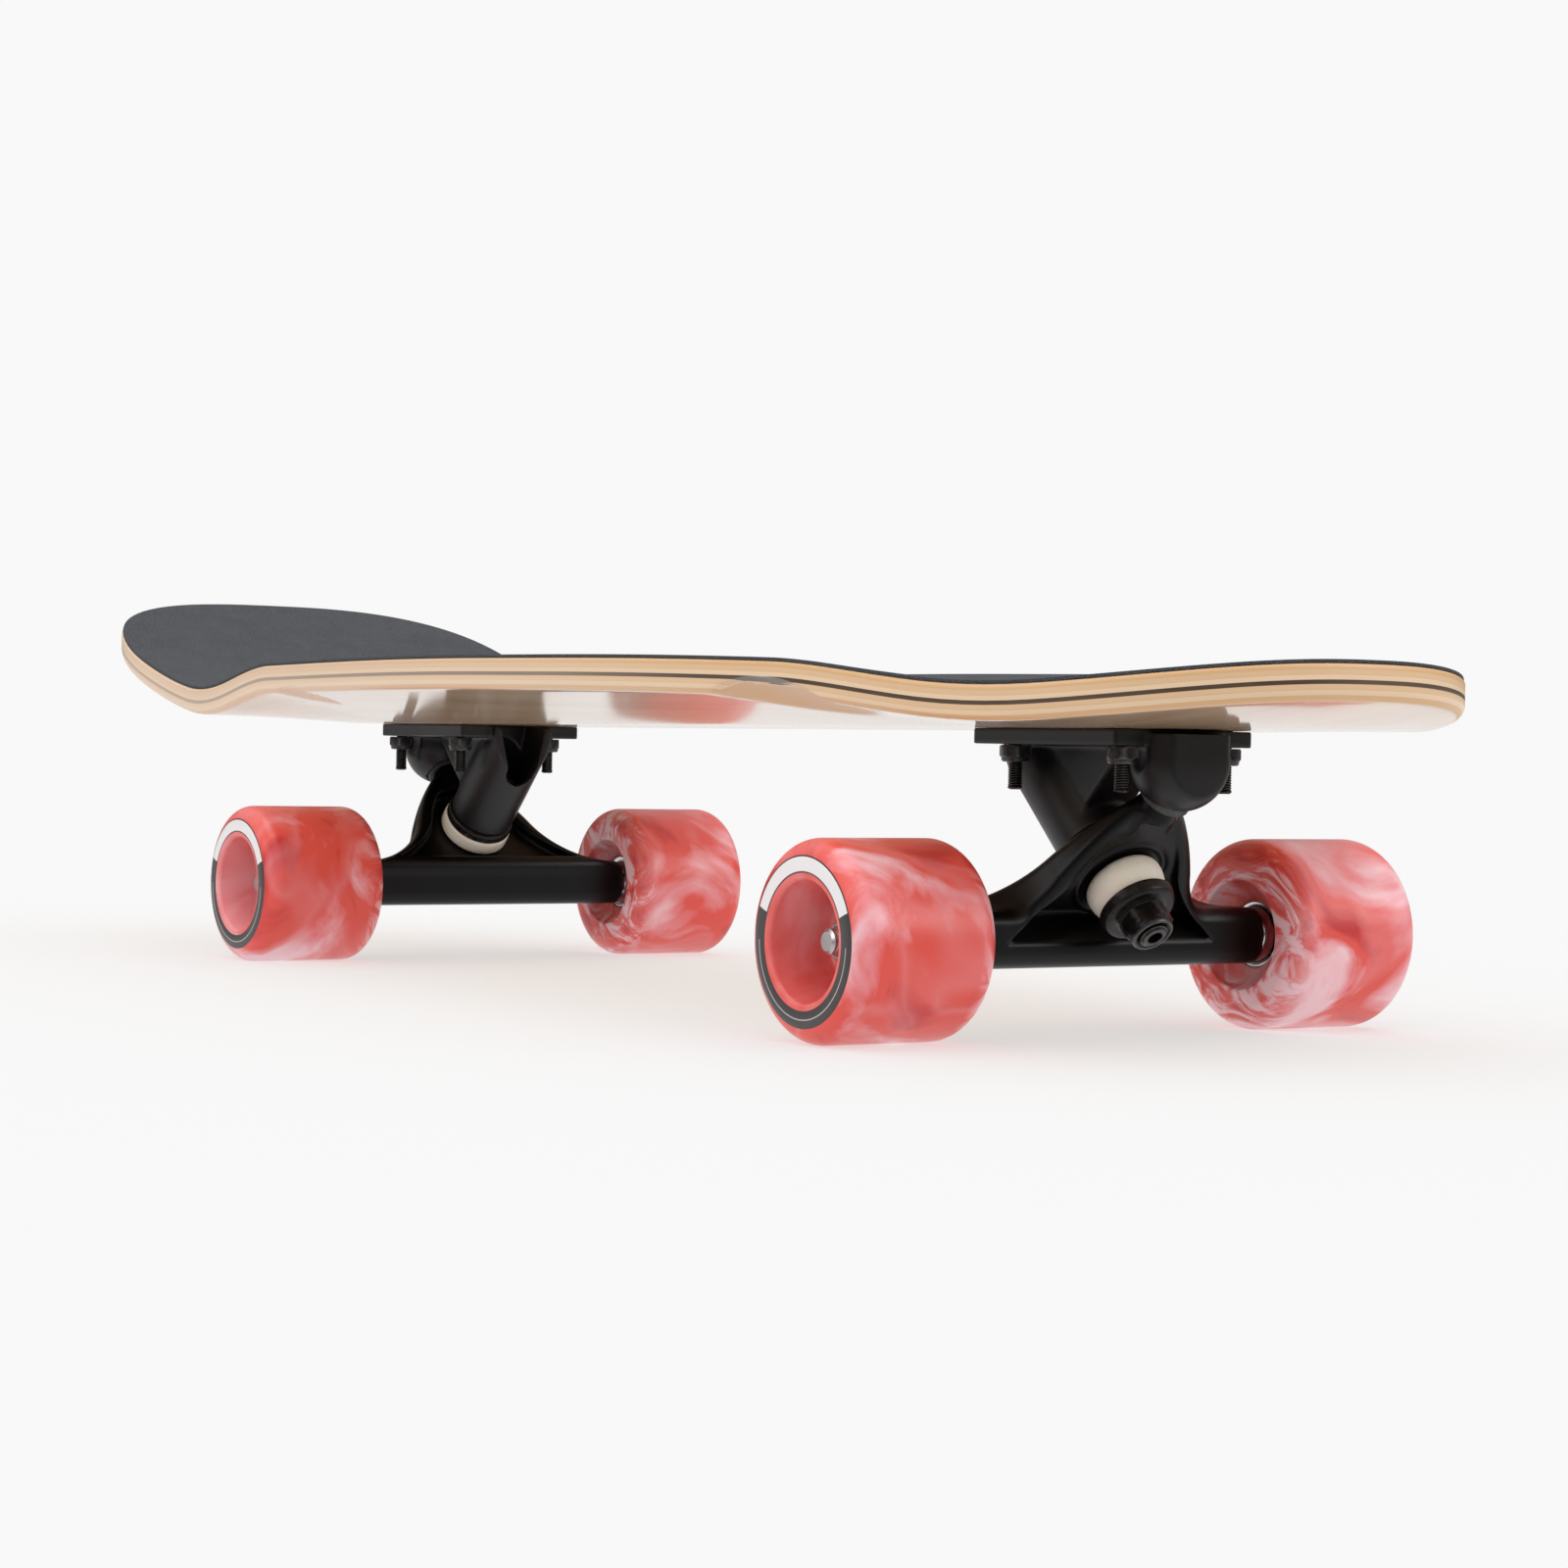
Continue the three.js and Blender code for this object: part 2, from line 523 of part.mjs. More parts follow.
function makeWheel() {
  const inner = WHEEL_INNER_FACE;
  const outer = WHEEL_OUTER_FACE;
  const seat = BEARING_RADIUS + 0.15;
  const profile = [];
  const corner = (cx, cy, radius, from, to, steps) => {
    for (let i = 0; i <= steps; i++) {
      const a = THREE.MathUtils.degToRad(from + ((to - from) * i) / steps);
      profile.push([cx + radius * Math.cos(a), cy + radius * Math.sin(a)]);
    }
  };
  // inner face, from the recess mouth outwards
  profile.push([18, inner + 0.8]);
  profile.push([19, inner]);
  corner(WHEEL_RADIUS - WHEEL_LIP, inner + WHEEL_LIP, WHEEL_LIP, -75, 0, 3);
  corner(WHEEL_RADIUS - WHEEL_LIP, outer - WHEEL_LIP, WHEEL_LIP, 0, 75, 3);
  profile.push([20.6, outer]);
  profile.push([18.8, outer - 1.8]);
  profile.push([16.4, outer - 11]);
  profile.push([14.6, OUTER_BEARING_FACE + 1.5]);
  profile.push([seat, OUTER_BEARING_FACE + 0.5]);
  profile.push([seat, OUTER_BEARING_FACE - BEARING_WIDTH - 0.15]);
  profile.push([9.4, OUTER_BEARING_FACE - BEARING_WIDTH - 0.15]);
  profile.push([9.4, INNER_BEARING_FACE + BEARING_WIDTH + 0.15]);
  profile.push([seat, INNER_BEARING_FACE + BEARING_WIDTH + 0.15]);
  profile.push([seat, INNER_BEARING_FACE - 0.5]);
  profile.push([14.5, INNER_BEARING_FACE - 1.2]);
  return turnedRing(profile, FINE);
}

// A shielded ball bearing whose inner ring carries on as half a spacer towards the middle of the wheel
// and as a raised ring towards its open face.
function makeBearing(face, direction) {
  const z = (d) => face + direction * d;
  const bore = AXLE_RADIUS + 0.15;
  const middle = BEARING_WIDTH + BEARING_SPACE / 2 - 0.1;
  const profile = [[bore, -0.9], [5.9, -0.9], [6.1, 0.5], [9.3, 0.5], [9.4, 0], [BEARING_RADIUS, 0],
    [BEARING_RADIUS, BEARING_WIDTH], [6, BEARING_WIDTH], [6, middle], [bore, middle]]
    .map(([r, d]) => [r, z(d)]);
  return turnedRing(direction > 0 ? profile : profile.reverse(), COARSE);
}

function makeAxleNut() {
  const base = OUTER_BEARING_FACE + 1.2;
  const hex = hexagon(7.4, base, base + 4.8);
  const collar = turned([[0, base + 4], [6, base + 4], [6, base + 6.4], [5.4, base + 7], [0, base + 7]],
    COARSE);
  return hex.add(collar).subtract(rod(AXLE_RADIUS + 0.15, 0, 200, COARSE));
}

// ---------------------------------------------------------------- materials
const COLOURS = {
  maple: [0.78, 0.58, 0.36],
  grip: [0.16, 0.17, 0.18],
  blackPaint: [0.06, 0.06, 0.065],
  blackSteel: [0.05, 0.05, 0.05],
  steel: [0.55, 0.55, 0.56],
  ivory: [0.85, 0.8, 0.68],
  urethane: [0.82, 0.3, 0.28],
  cup: [0.12, 0.12, 0.12],
};

function material(name) {
  const [r, g, b] = COLOURS[name];
  const metal = name === "steel" || name === "blackSteel";
  const m = new THREE.MeshStandardMaterial({ roughness: metal ? 0.35 : 0.55, metalness: metal ? 0.9 : 0 });
  m.color.setRGB(r, g, b);
  m.name = name;
  return m;
}

function part(name, shape, materialName) {
  const mesh = new THREE.Mesh(geometryOf(shape), material(materialName));
  mesh.name = name;
  return mesh;
}

// ---------------------------------------------------------------- assembly
const group = new THREE.Group();
group.name = "cruiser_skateboard";
group.add(part("deck", makeDeck(), "maple"));
group.add(part("grip_tape", makeGrip(), "grip"));

for (const truck of TRUCKS) {
  const t = new THREE.Group();
  t.name = truck.name + "_truck";
  t.position.set(truck.x, 0, PLATE_TOP);
  t.rotation.z = truck.facing > 0 ? 0 : Math.PI;
  const prefix = truck.name + "_";
  t.add(part(prefix + "baseplate", makeBaseplate(), "blackPaint"));
  t.add(part(prefix + "pivot_cup", makePivotCup(), "cup"));
  t.add(part(prefix + "hanger", makeHanger(), "blackPaint"));
  t.add(part(prefix + "axle", makeAxle(), "steel"));
  t.add(part(prefix + "kingpin", makeKingpin(), "blackSteel"));
  t.add(part(prefix + "kingpin_nut", makeKingpinNut(), "blackSteel"));
  t.add(part(prefix + "bushing_upper", makeUpperBushing(), "ivory"));
  t.add(part(prefix + "bushing_lower", makeLowerBushing(), "ivory"));
  t.add(part(prefix + "washer_upper", makeUpperWasher(), "blackSteel"));
  t.add(part(prefix + "washer_lower", makeLowerWasher(), "blackSteel"));
  for (const { name, x, y } of boltPlaces(truck.x, truck.facing)) {
    const localX = truck.facing * (x - truck.x);
    const localY = truck.facing * y;
    t.add(part(prefix + "bolt_" + name, makeBolt(localX, localY), "blackSteel"));
    t.add(part(prefix + "locknut_" + name, makeLocknut(localX, localY), "blackSteel"));
  }
  for (const side of [1, -1]) {
    const w = new THREE.Group();
    const facing = side * truck.facing;
    w.name = prefix + (facing > 0 ? "left" : "right");
    w.position.set(AXLE_X, 0, AXLE_Z);
    w.rotation.x = -side * Math.PI / 2;
    w.add(part(w.name + "_wheel", makeWheel(), "urethane"));
    w.add(part(w.name + "_bearing_inner", makeBearing(INNER_BEARING_FACE, 1), "steel"));
    w.add(part(w.name + "_bearing_outer", makeBearing(OUTER_BEARING_FACE, -1), "steel"));
    w.add(part(w.name + "_axle_nut", makeAxleNut(), "steel"));
    t.add(w);
  }
  group.add(t);
}

export default group;
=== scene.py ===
"""Looks for the cruiser skateboard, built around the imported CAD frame.

Shapes are written in millimetres in the frame of the part they belong to, and placed by matrices in metres.
"""
import json
import math

import bpy
import numpy as np
from mathutils import Matrix, Vector

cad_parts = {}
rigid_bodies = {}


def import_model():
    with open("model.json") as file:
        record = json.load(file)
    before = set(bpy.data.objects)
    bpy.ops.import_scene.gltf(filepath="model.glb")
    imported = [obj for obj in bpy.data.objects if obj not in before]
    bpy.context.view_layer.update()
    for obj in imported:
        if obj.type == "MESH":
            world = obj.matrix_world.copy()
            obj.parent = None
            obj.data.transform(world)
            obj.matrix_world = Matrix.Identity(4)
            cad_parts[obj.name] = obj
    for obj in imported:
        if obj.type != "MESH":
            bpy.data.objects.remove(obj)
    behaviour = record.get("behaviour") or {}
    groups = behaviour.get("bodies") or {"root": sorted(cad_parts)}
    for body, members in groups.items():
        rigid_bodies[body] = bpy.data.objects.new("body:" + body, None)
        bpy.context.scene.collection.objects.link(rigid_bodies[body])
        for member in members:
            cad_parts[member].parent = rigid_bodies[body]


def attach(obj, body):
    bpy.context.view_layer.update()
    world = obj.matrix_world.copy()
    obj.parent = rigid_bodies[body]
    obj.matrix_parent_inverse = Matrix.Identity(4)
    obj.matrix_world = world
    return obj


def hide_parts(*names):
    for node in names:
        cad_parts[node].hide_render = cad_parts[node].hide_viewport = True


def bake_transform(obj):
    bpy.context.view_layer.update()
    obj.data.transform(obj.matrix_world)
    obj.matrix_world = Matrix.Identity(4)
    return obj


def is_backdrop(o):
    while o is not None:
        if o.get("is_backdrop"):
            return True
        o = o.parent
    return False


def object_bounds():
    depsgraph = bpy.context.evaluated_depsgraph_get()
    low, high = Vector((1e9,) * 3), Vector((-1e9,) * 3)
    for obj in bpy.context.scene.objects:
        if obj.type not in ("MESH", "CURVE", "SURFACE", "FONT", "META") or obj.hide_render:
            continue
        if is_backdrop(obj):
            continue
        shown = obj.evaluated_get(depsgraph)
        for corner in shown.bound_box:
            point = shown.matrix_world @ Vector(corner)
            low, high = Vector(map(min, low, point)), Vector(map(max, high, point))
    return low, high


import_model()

cad_box = [list(corner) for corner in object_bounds()]

MM = 0.001

# ---------------------------------------------------------------- dimensions shared with the CAD, in mm
DECK_LENGTH = 760.0
DECK_HALF_WIDTH = 117.0
TAIL_HALF_WIDTH = 97.8
DECK_THICKNESS = 10.8
DECK_UNDERSIDE = 97.8
GRIP_THICKNESS = 0.8
CONCAVE_RISE = 11.5
CONCAVE_TILT = -0.001
CONCAVE_POWER = 1.12
NOSE_LENGTH = 292.0
NOSE_POWER = 2.44
TAIL_LENGTH = 84.7
TAIL_POWER = 2.78
KICK_RADIUS = 343.0
KICK_ANGLE = math.radians(21.1)
NOSE_RADIUS = 555.0
WELL_RADIUS = 66.0
WELL_START = 72.0
WELL_DEPTH = 5.0
WELL_REACH = 177.0
WELL_PLY = 0.09
DARK_PLY = 0.42
MID_WHEELBASE = 45.5
HALF_BOLT_CENTRES = 217.7
BOLT_HALF_X = 27.0
BOLT_HALF_Y = 20.65
GAP = 0.3
PLATE_TOP = DECK_UNDERSIDE - GAP
PLATE_LENGTH = 73.0
PLATE_WIDTH = 54.8
PLATE_CORNER = 0.8
PLATE_THICKNESS = 4.8
PLATE_SHIFT = -4.4
WHEEL_RADIUS = 31.5
WHEEL_INNER_FACE = 59.6
WHEEL_OUTER_FACE = WHEEL_INNER_FACE + 53.0
WHEEL_LIP = 7.5
AXLE_RADIUS = 4.0
AXLE_HALF_LENGTH = 103.6
HANGER_HALF_LENGTH = 65.0
BEARING_RADIUS = 11.0
HUB_BORE = 9.4
THREAD_PITCH = 1.25
BEARING_WIDTH = 7.0
INNER_BEARING_FACE = 67.2
OUTER_BEARING_FACE = INNER_BEARING_FACE + 24.0
RING_X, RING_Z = -0.8, -44.2
AXLE_X = -10.3
AXLE_Z = WHEEL_RADIUS - PLATE_TOP
KINGPIN_RADIUS = 4.75
UPPER_BUSHING_RADIUS = 14.6
LOWER_BUSHING_RADIUS = 12.8
BUSHING_BORE = 5.1
WASHER_RADIUS = 14.0
WASHER_THICKNESS = 2.0
CUP_LIP = 6.5
BOSS_RADIUS = 13.4
BOSS_END = 10.6
BOSS_FACE = -44.0
WEDGE_END = 17.0
WEDGE_HALF_WIDTH = 9.4
HEAD_SEAT = BOSS_END + 13.5
BAR_HALF = 9.2
BAR_CORNER = 5.0
WEB_TOP = -0.4
WEB_BOTTOM = -3.2
ARM_TOP = 4.3
ARM_UNDERSIDE = -7.5
ARM_SLOPE = 0.225
LOWER_WASHER_TOP = -16.6
NUT_TOP = -19.6
NUT_HEIGHT = 8.4
NUT_LOW = NUT_TOP - NUT_HEIGHT
PIVOT_RADIUS = 6.0
CUP_RADIUS = 8.6
CUP_END = 45.6
DOME_X, DOME_Z, DOME_RADIUS, DOME_FACE = 30.0, -9.6, 15.4, 40.3
NUT_CLEARANCE = 7.4
POCKET_END = -27.0
POCKET_ROUND = -18.6
BOLT_END = -19.3

TRUCKS = {"front": (MID_WHEELBASE + HALF_BOLT_CENTRES, 1), "rear": (MID_WHEELBASE - HALF_BOLT_CENTRES, -1)}


# ---------------------------------------------------------------- frames
def shift(x, y, z):
    return Matrix.Translation(Vector((x, y, z)) * MM)


def turn(angle, axis):
    return Matrix.Rotation(angle, 4, axis)


KINGPIN = shift(RING_X, 0, RING_Z) @ turn(-math.pi / 4, "Y")
STEERING = KINGPIN @ turn(math.pi / 2, "Y")


def truck_frame(name):
    x, facing = TRUCKS[name]
    return shift(x, 0, PLATE_TOP) @ turn(0 if facing > 0 else math.pi, "Z")


# ---------------------------------------------------------------- mesh building
def make_piece(name, verts, faces, place, sharp=35, materials=(), face_materials=None, attribute=None):
    """A mesh object from vertices in mm, placed by a matrix."""
    mesh = bpy.data.meshes.new(name)
    mesh.from_pydata((np.asarray(verts, float) * MM).tolist(), [], [list(f) for f in faces])
    mesh.validate()
    mesh.shade_smooth()
    mesh.set_sharp_from_angle(angle=math.radians(sharp))
    for m in materials:
        mesh.materials.append(m)
    if face_materials is not None:
        mesh.polygons.foreach_set("material_index", face_materials)
    if attribute is not None:
        label, values = attribute
        layer = mesh.attributes.new(label, "FLOAT", "POINT")
        layer.data.foreach_set("value", np.asarray(values, np.float32))
    piece = bpy.data.objects.new(name, mesh)
    bpy.context.scene.collection.objects.link(piece)
    piece.matrix_world = place
    return piece


def arc(cx, cz, radius, start, end, steps):
    angles = np.radians(np.linspace(start, end, steps + 1))
    return [(cx + radius * math.cos(a), cz + radius * math.sin(a)) for a in angles]


def revolve(profile, segments=96, closed=False, flats=None):
    """Vertices and faces of a profile of (radius, height) turned about Z, with the outside on its right.

    flats gives, for each profile point, the half width across flats of a hexagon that cuts it, or None.
    """
    angles = np.arange(segments) * 2 * math.pi / segments
    wedge = np.mod(angles, math.pi / 3) - math.pi / 6
    verts, rings = [], []
    for k, (r, z) in enumerate(profile):
        if r < 1e-6:
            rings.append([len(verts)])
            verts.append((0, 0, z))
            continue
        radius = np.full(segments, float(r))
        if flats and flats[k]:
            radius = np.minimum(radius, flats[k] / np.cos(wedge))
        rings.append(list(range(len(verts), len(verts) + segments)))
        verts.extend(zip(radius * np.cos(angles), radius * np.sin(angles), np.full(segments, z)))
    faces = []
    pairs = list(zip(rings[:-1], rings[1:]))
    if closed:
        pairs.append((rings[-1], rings[0]))
    for low, high in pairs:
        for i in range(segments):
            j = (i + 1) % segments
            if len(low) == 1 and len(high) == 1:
                break
            if len(low) == 1:
                faces.append((low[0], high[j], high[i]))
            elif len(high) == 1:
                faces.append((low[i], low[j], high[0]))
            else:
                faces.append((low[i], low[j], high[j], high[i]))
    return np.array(verts, float), faces


def threaded(radius, bottom, top, pitch, depth, head=(), foot=(), segments=28, per_turn=6, head_flats=None):
    """A rod with a helical thread between two heights, and plain profiles, foot and head, beyond them."""
    rows = max(4, int(round((top - bottom) / pitch * per_turn)))
    heights = np.linspace(bottom, top, rows + 1)
    angles = np.arange(segments) * 2 * math.pi / segments
    verts, rings = [], []

    def ring(r, z):
        if np.isscalar(r) and r < 1e-6:
            rings.append([len(verts)])
            verts.append((0, 0, z))
            return
        rings.append(list(range(len(verts), len(verts) + segments)))
        verts.extend(zip(r * np.cos(angles), r * np.sin(angles), np.full(segments, z)))

    for r, z in foot:
        ring(r, z)
    for z in heights:
        phase = np.mod(z / pitch - angles / (2 * math.pi), 1)
        groove = 1 - np.abs(2 * phase - 1)
        fade = min(1, (z - bottom) / pitch, (top - z) / pitch)
        ring(radius - depth * fade * groove, z)
    wedge = np.mod(angles, math.pi / 3) - math.pi / 6
    for (r, z), flat in zip(head, head_flats or [None] * len(head)):
        ring(np.minimum(r, flat / np.cos(wedge)) if flat else r, z)
    faces = []
    for low, high in zip(rings[:-1], rings[1:]):
        for i in range(segments):
            j = (i + 1) % segments
            if len(low) == 1:
                faces.append((low[0], high[j], high[i]))
            elif len(high) == 1:
                faces.append((low[i], low[j], high[0]))
            else:
                faces.append((low[i], low[j], high[j], high[i]))
    return np.array(verts, float), faces


# ---------------------------------------------------------------- cast shapes from distance fields
def smooth_min(a, b, k):
    h = np.clip(0.5 + 0.5 * (b - a) / k, 0, 1)
    return b + (a - b) * h - k * h * (1 - h)


def smooth_max(a, b, k):
    return -smooth_min(-a, -b, k)


def slab(flat, depth, edge):
    """An extruded outline with rounded edges, from its flat distance and its distance along the depth."""
    a, b = flat + edge, depth + edge
    return np.hypot(np.maximum(a, 0), np.maximum(b, 0)) + np.minimum(np.maximum(a, b), 0) - edge


def flat_box(x, y, half_x, half_y, corner):
    a, b = np.abs(x) - half_x + corner, np.abs(y) - half_y + corner
    return np.hypot(np.maximum(a, 0), np.maximum(b, 0)) + np.minimum(np.maximum(a, b), 0) - corner


def strip(along, across, curve):
    """Flat distance to an outline given as (along, half width) points from end to end."""
    at, width = np.array(curve).T
    slope = np.gradient(width, at)
    side = (np.abs(across) - np.interp(along, at, width)) / np.sqrt(1 + np.interp(along, at, slope) ** 2)
    return np.maximum(side, np.maximum(at[0] - along, along - at[-1]))


def tapered(radial, along, stations):
    """Distance to a solid of revolution whose radius runs straight between (along, radius) stations."""
    at = [s[0] for s in stations]
    radii = [s[1] for s in stations]
    side = radial - np.interp(along, at, radii)
    return np.maximum(side * 0.95, np.maximum(at[0] - along, along - at[-1]))


def skin(field, low, high, step):
    """Surface nets over a distance field, then each vertex moved onto the surface."""
    axes = [np.arange(a, b + step, step) for a, b in zip(low, high)]
    grid = np.stack(np.meshgrid(*axes, indexing="ij"), -1)
    shape = grid.shape[:3]
    d = field(grid.reshape(-1, 3)).reshape(shape)
    inside = d < 0
    cells = tuple(n - 1 for n in shape)
    corner = lambda arr, i, j, k: arr[i:i + cells[0], j:j + cells[1], k:k + cells[2]]
    offsets = [(i, j, k) for i in (0, 1) for j in (0, 1) for k in (0, 1)]
    filled = sum(corner(inside, *o).astype(np.int8) for o in offsets)
    active = (filled > 0) & (filled < 8)
    number = np.full(cells, -1, np.int64)
    number[active] = np.arange(active.sum())
    total = np.zeros((active.sum(), 3))
    count = np.zeros(active.sum())
    for a in offsets:
        for axis in range(3):
            if a[axis]:
                continue
            b = tuple(v + (1 if n == axis else 0) for n, v in enumerate(a))
            da, db = corner(d, *a)[active], corner(d, *b)[active]
            cut = (da < 0) != (db < 0)
            t = np.where(cut, da / np.where(cut, da - db, 1), 0)
            point = np.tile(np.array(a, float), (len(t), 1))
            point[:, axis] += t
            total[cut] += point[cut]
            count[cut] += 1
    base = np.stack(np.nonzero(active), -1)
    verts = np.array(low) + step * (base + total / count[:, None])
    faces = []
    for axis in range(3):
        u, v = (axis + 1) % 3, (axis + 2) % 3
        lo = [slice(None)] * 3
        hi = [slice(None)] * 3
        lo[axis], hi[axis] = slice(0, -1), slice(1, None)
        crossing = inside[tuple(lo)] != inside[tuple(hi)]
        rising = inside[tuple(lo)]
        where = np.stack(np.nonzero(crossing), -1)
        keep = (where[:, u] > 0) & (where[:, v] > 0) & (where[:, u] < cells[u]) & (where[:, v] < cells[v])
        where = where[keep]
        leaving = rising[tuple(where.T)]
        quads = []
        for du, dv in ((1, 1), (0, 1), (0, 0), (1, 0)):
            c = where.copy()
            c[:, u] -= du
            c[:, v] -= dv
            quads.append(number[tuple(c.T)])
        quads = np.stack(quads, -1)
        quads[~leaving] = quads[~leaving][:, ::-1]
        faces.append(quads)
    for _ in range(3):
        distance = field(verts)
        slope = np.stack([field(verts + e) - field(verts - e) for e in np.eye(3) * 0.05], -1) / 0.1
        move = distance[:, None] * slope / np.maximum((slope ** 2).sum(1, keepdims=True), 0.25)
        reach = np.linalg.norm(move, axis=1, keepdims=True)
        verts = verts - move * np.minimum(1, 0.4 * step / np.maximum(reach, 1e-9))
    return verts, np.concatenate(faces)


def in_kingpin(p):
    """Truck coordinates to (along the steering axis, across, up the kingpin)."""
    s = math.sqrt(0.5)
    x, z = p[:, 0] - RING_X, p[:, 2] - RING_Z
    return (x + z) * s, p[:, 1], (z - x) * s


def baseplate_field(p):
    x, y, z = p.T
    a, b, c = in_kingpin(p)
    radial = np.hypot(a, b)
    boss = smooth_max(radial - BOSS_RADIUS, BOSS_END - c, 0.7)
    boss = smooth_max(boss, BOSS_FACE - x, 0.7)
    wedge = smooth_max(np.abs(y) - WEDGE_HALF_WIDTH, WEDGE_END - c, 1.6)
    wedge = np.maximum(wedge, np.maximum(-a, x - DOME_X))
    dome = np.sqrt((x - DOME_X) ** 2 + y ** 2 + (z - DOME_Z) ** 2) - DOME_RADIUS
    neck = np.maximum(np.hypot(x - DOME_X, y) - DOME_RADIUS + 0.1, DOME_Z - z)
    dome = smooth_max(np.minimum(dome, neck), x - DOME_FACE, 0.9)
    body = smooth_min(smooth_min(boss, wedge, 2.2), dome, 2.0)
    body = np.maximum(body, z + 1)
    outline = flat_box(x - PLATE_SHIFT, y, PLATE_LENGTH / 2, PLATE_WIDTH / 2, PLATE_CORNER)
    plate = slab(outline, np.maximum(z - GAP + 0.05, -PLATE_THICKNESS - z), 0.45)
    bolts = [(sx * BOLT_HALF_X, sy * BOLT_HALF_Y) for sx in (1, -1) for sy in (1, -1)]
    for bx, by in bolts:
        scoop = np.hypot(np.hypot(x - bx, y - by), np.maximum(0, -8.0 - z)) - NUT_CLEARANCE - 0.3
        body = smooth_max(body, -scoop, 0.9)
    body = np.maximum(smooth_min(plate, body, 1.5), z - GAP + 0.05)
    for bx, by in bolts:
        body = smooth_max(body, 2.75 - np.hypot(x - bx, y - by), 0.3)
    round_end = np.hypot(y / 6.4, (z - POCKET_ROUND) / 6.0) * 6.2 - 6.2
    flared = np.abs(y) - 6.4 - 0.225 * (z - POCKET_ROUND)
    pocket = np.where(z < POCKET_ROUND, round_end, flared)
    pocket = smooth_max(pocket * 0.95, x - POCKET_END, 0.8)
    body = smooth_max(body, -pocket, 0.9)
    sink = np.maximum(np.maximum(radial - 9.6, HEAD_SEAT - c), np.abs(y) - 9)
    body = smooth_max(body, -sink, 0.5)
    body = smooth_max(body, KINGPIN_RADIUS + GAP - radial, 0.3)
    cup = np.maximum(np.hypot(b, c) - CUP_RADIUS - GAP, np.maximum(20 - a, a - CUP_END - GAP))
    return smooth_max(body, -cup, 0.7)


def bezier(start, control, end, steps=30):
    t = np.linspace(0, 1, steps + 1)[:, None]
    start, control, end = map(np.array, (start, control, end))
    return ((1 - t) ** 2 * start + 2 * t * (1 - t) * control + t ** 2 * end).tolist()


HANGER_OUTLINE = [(-24, 61)] + bezier((-21, 57), (-15.5, 33.5), (3, 26.5))
HANGER_OUTLINE += bezier((3, 26.5), (16, 20.5), (25, 13))[1:] + [(28, 10.5), (30, 7)]
LOWER_RECESS = bezier((-16.5, 41), (-9, 27), (2, 20.5)) + bezier((2, 20.5), (14, 16), (21, 11))[1:]
LOWER_RECESS += bezier((21, 11), (26.5, 7), (27, 0.3), 12)[1:]
UPPER_RECESS = bezier((-18.5, 42), (-10, 26), (2, 20)) + bezier((2, 20), (10, 17), (17, 12))[1:]
UPPER_RECESS += bezier((17, 12), (20, 9), (20.5, 0.3), 12)[1:]


def hanger_field(p):
    x, y, z = p.T
    a, b, c = in_kingpin(p)
    radial = np.hypot(a, b)
    underside_gap = (ARM_UNDERSIDE + ARM_SLOPE * a - c) / math.hypot(1, ARM_SLOPE)
    body = slab(strip(a, b, HANGER_OUTLINE), np.maximum(c - ARM_TOP, underside_gap), 3.0)
    upper = slab(strip(a, b, UPPER_RECESS), WEB_TOP - c, 1.2)
    body = smooth_max(body, -upper, 1.3)
    body = np.maximum(body, np.maximum(AXLE_Z - BAR_HALF - z, AXLE_X - BAR_HALF - x))
    bar_section = flat_box(x - AXLE_X, z - AXLE_Z, BAR_HALF, BAR_HALF, BAR_CORNER)
    bar = slab(bar_section, np.abs(y) - HANGER_HALF_LENGTH, 4.5)
    body = smooth_min(body, bar, 3.0)
    around = np.hypot(b, c)
    nose = tapered(around, a, [(20, 7.2), (28.5, 7.2), (32, PIVOT_RADIUS), (38, PIVOT_RADIUS)])
    tip = np.sqrt((a - 37.2) ** 2 + around ** 2) - PIVOT_RADIUS
    body = smooth_min(body, np.minimum(nose, tip), 2.4)
    lower = slab(strip(a, b, LOWER_RECESS), c - WEB_BOTTOM, 1.6)
    body = smooth_max(body, -lower, 0.9)
    lip = np.hypot(radial - 15.2, c - WEB_BOTTOM - 0.2) - 1.1
    body = smooth_min(body, lip, 0.8)
    return smooth_max(body, np.minimum(6.6 - radial, 12 - np.abs(c)), 0.6)


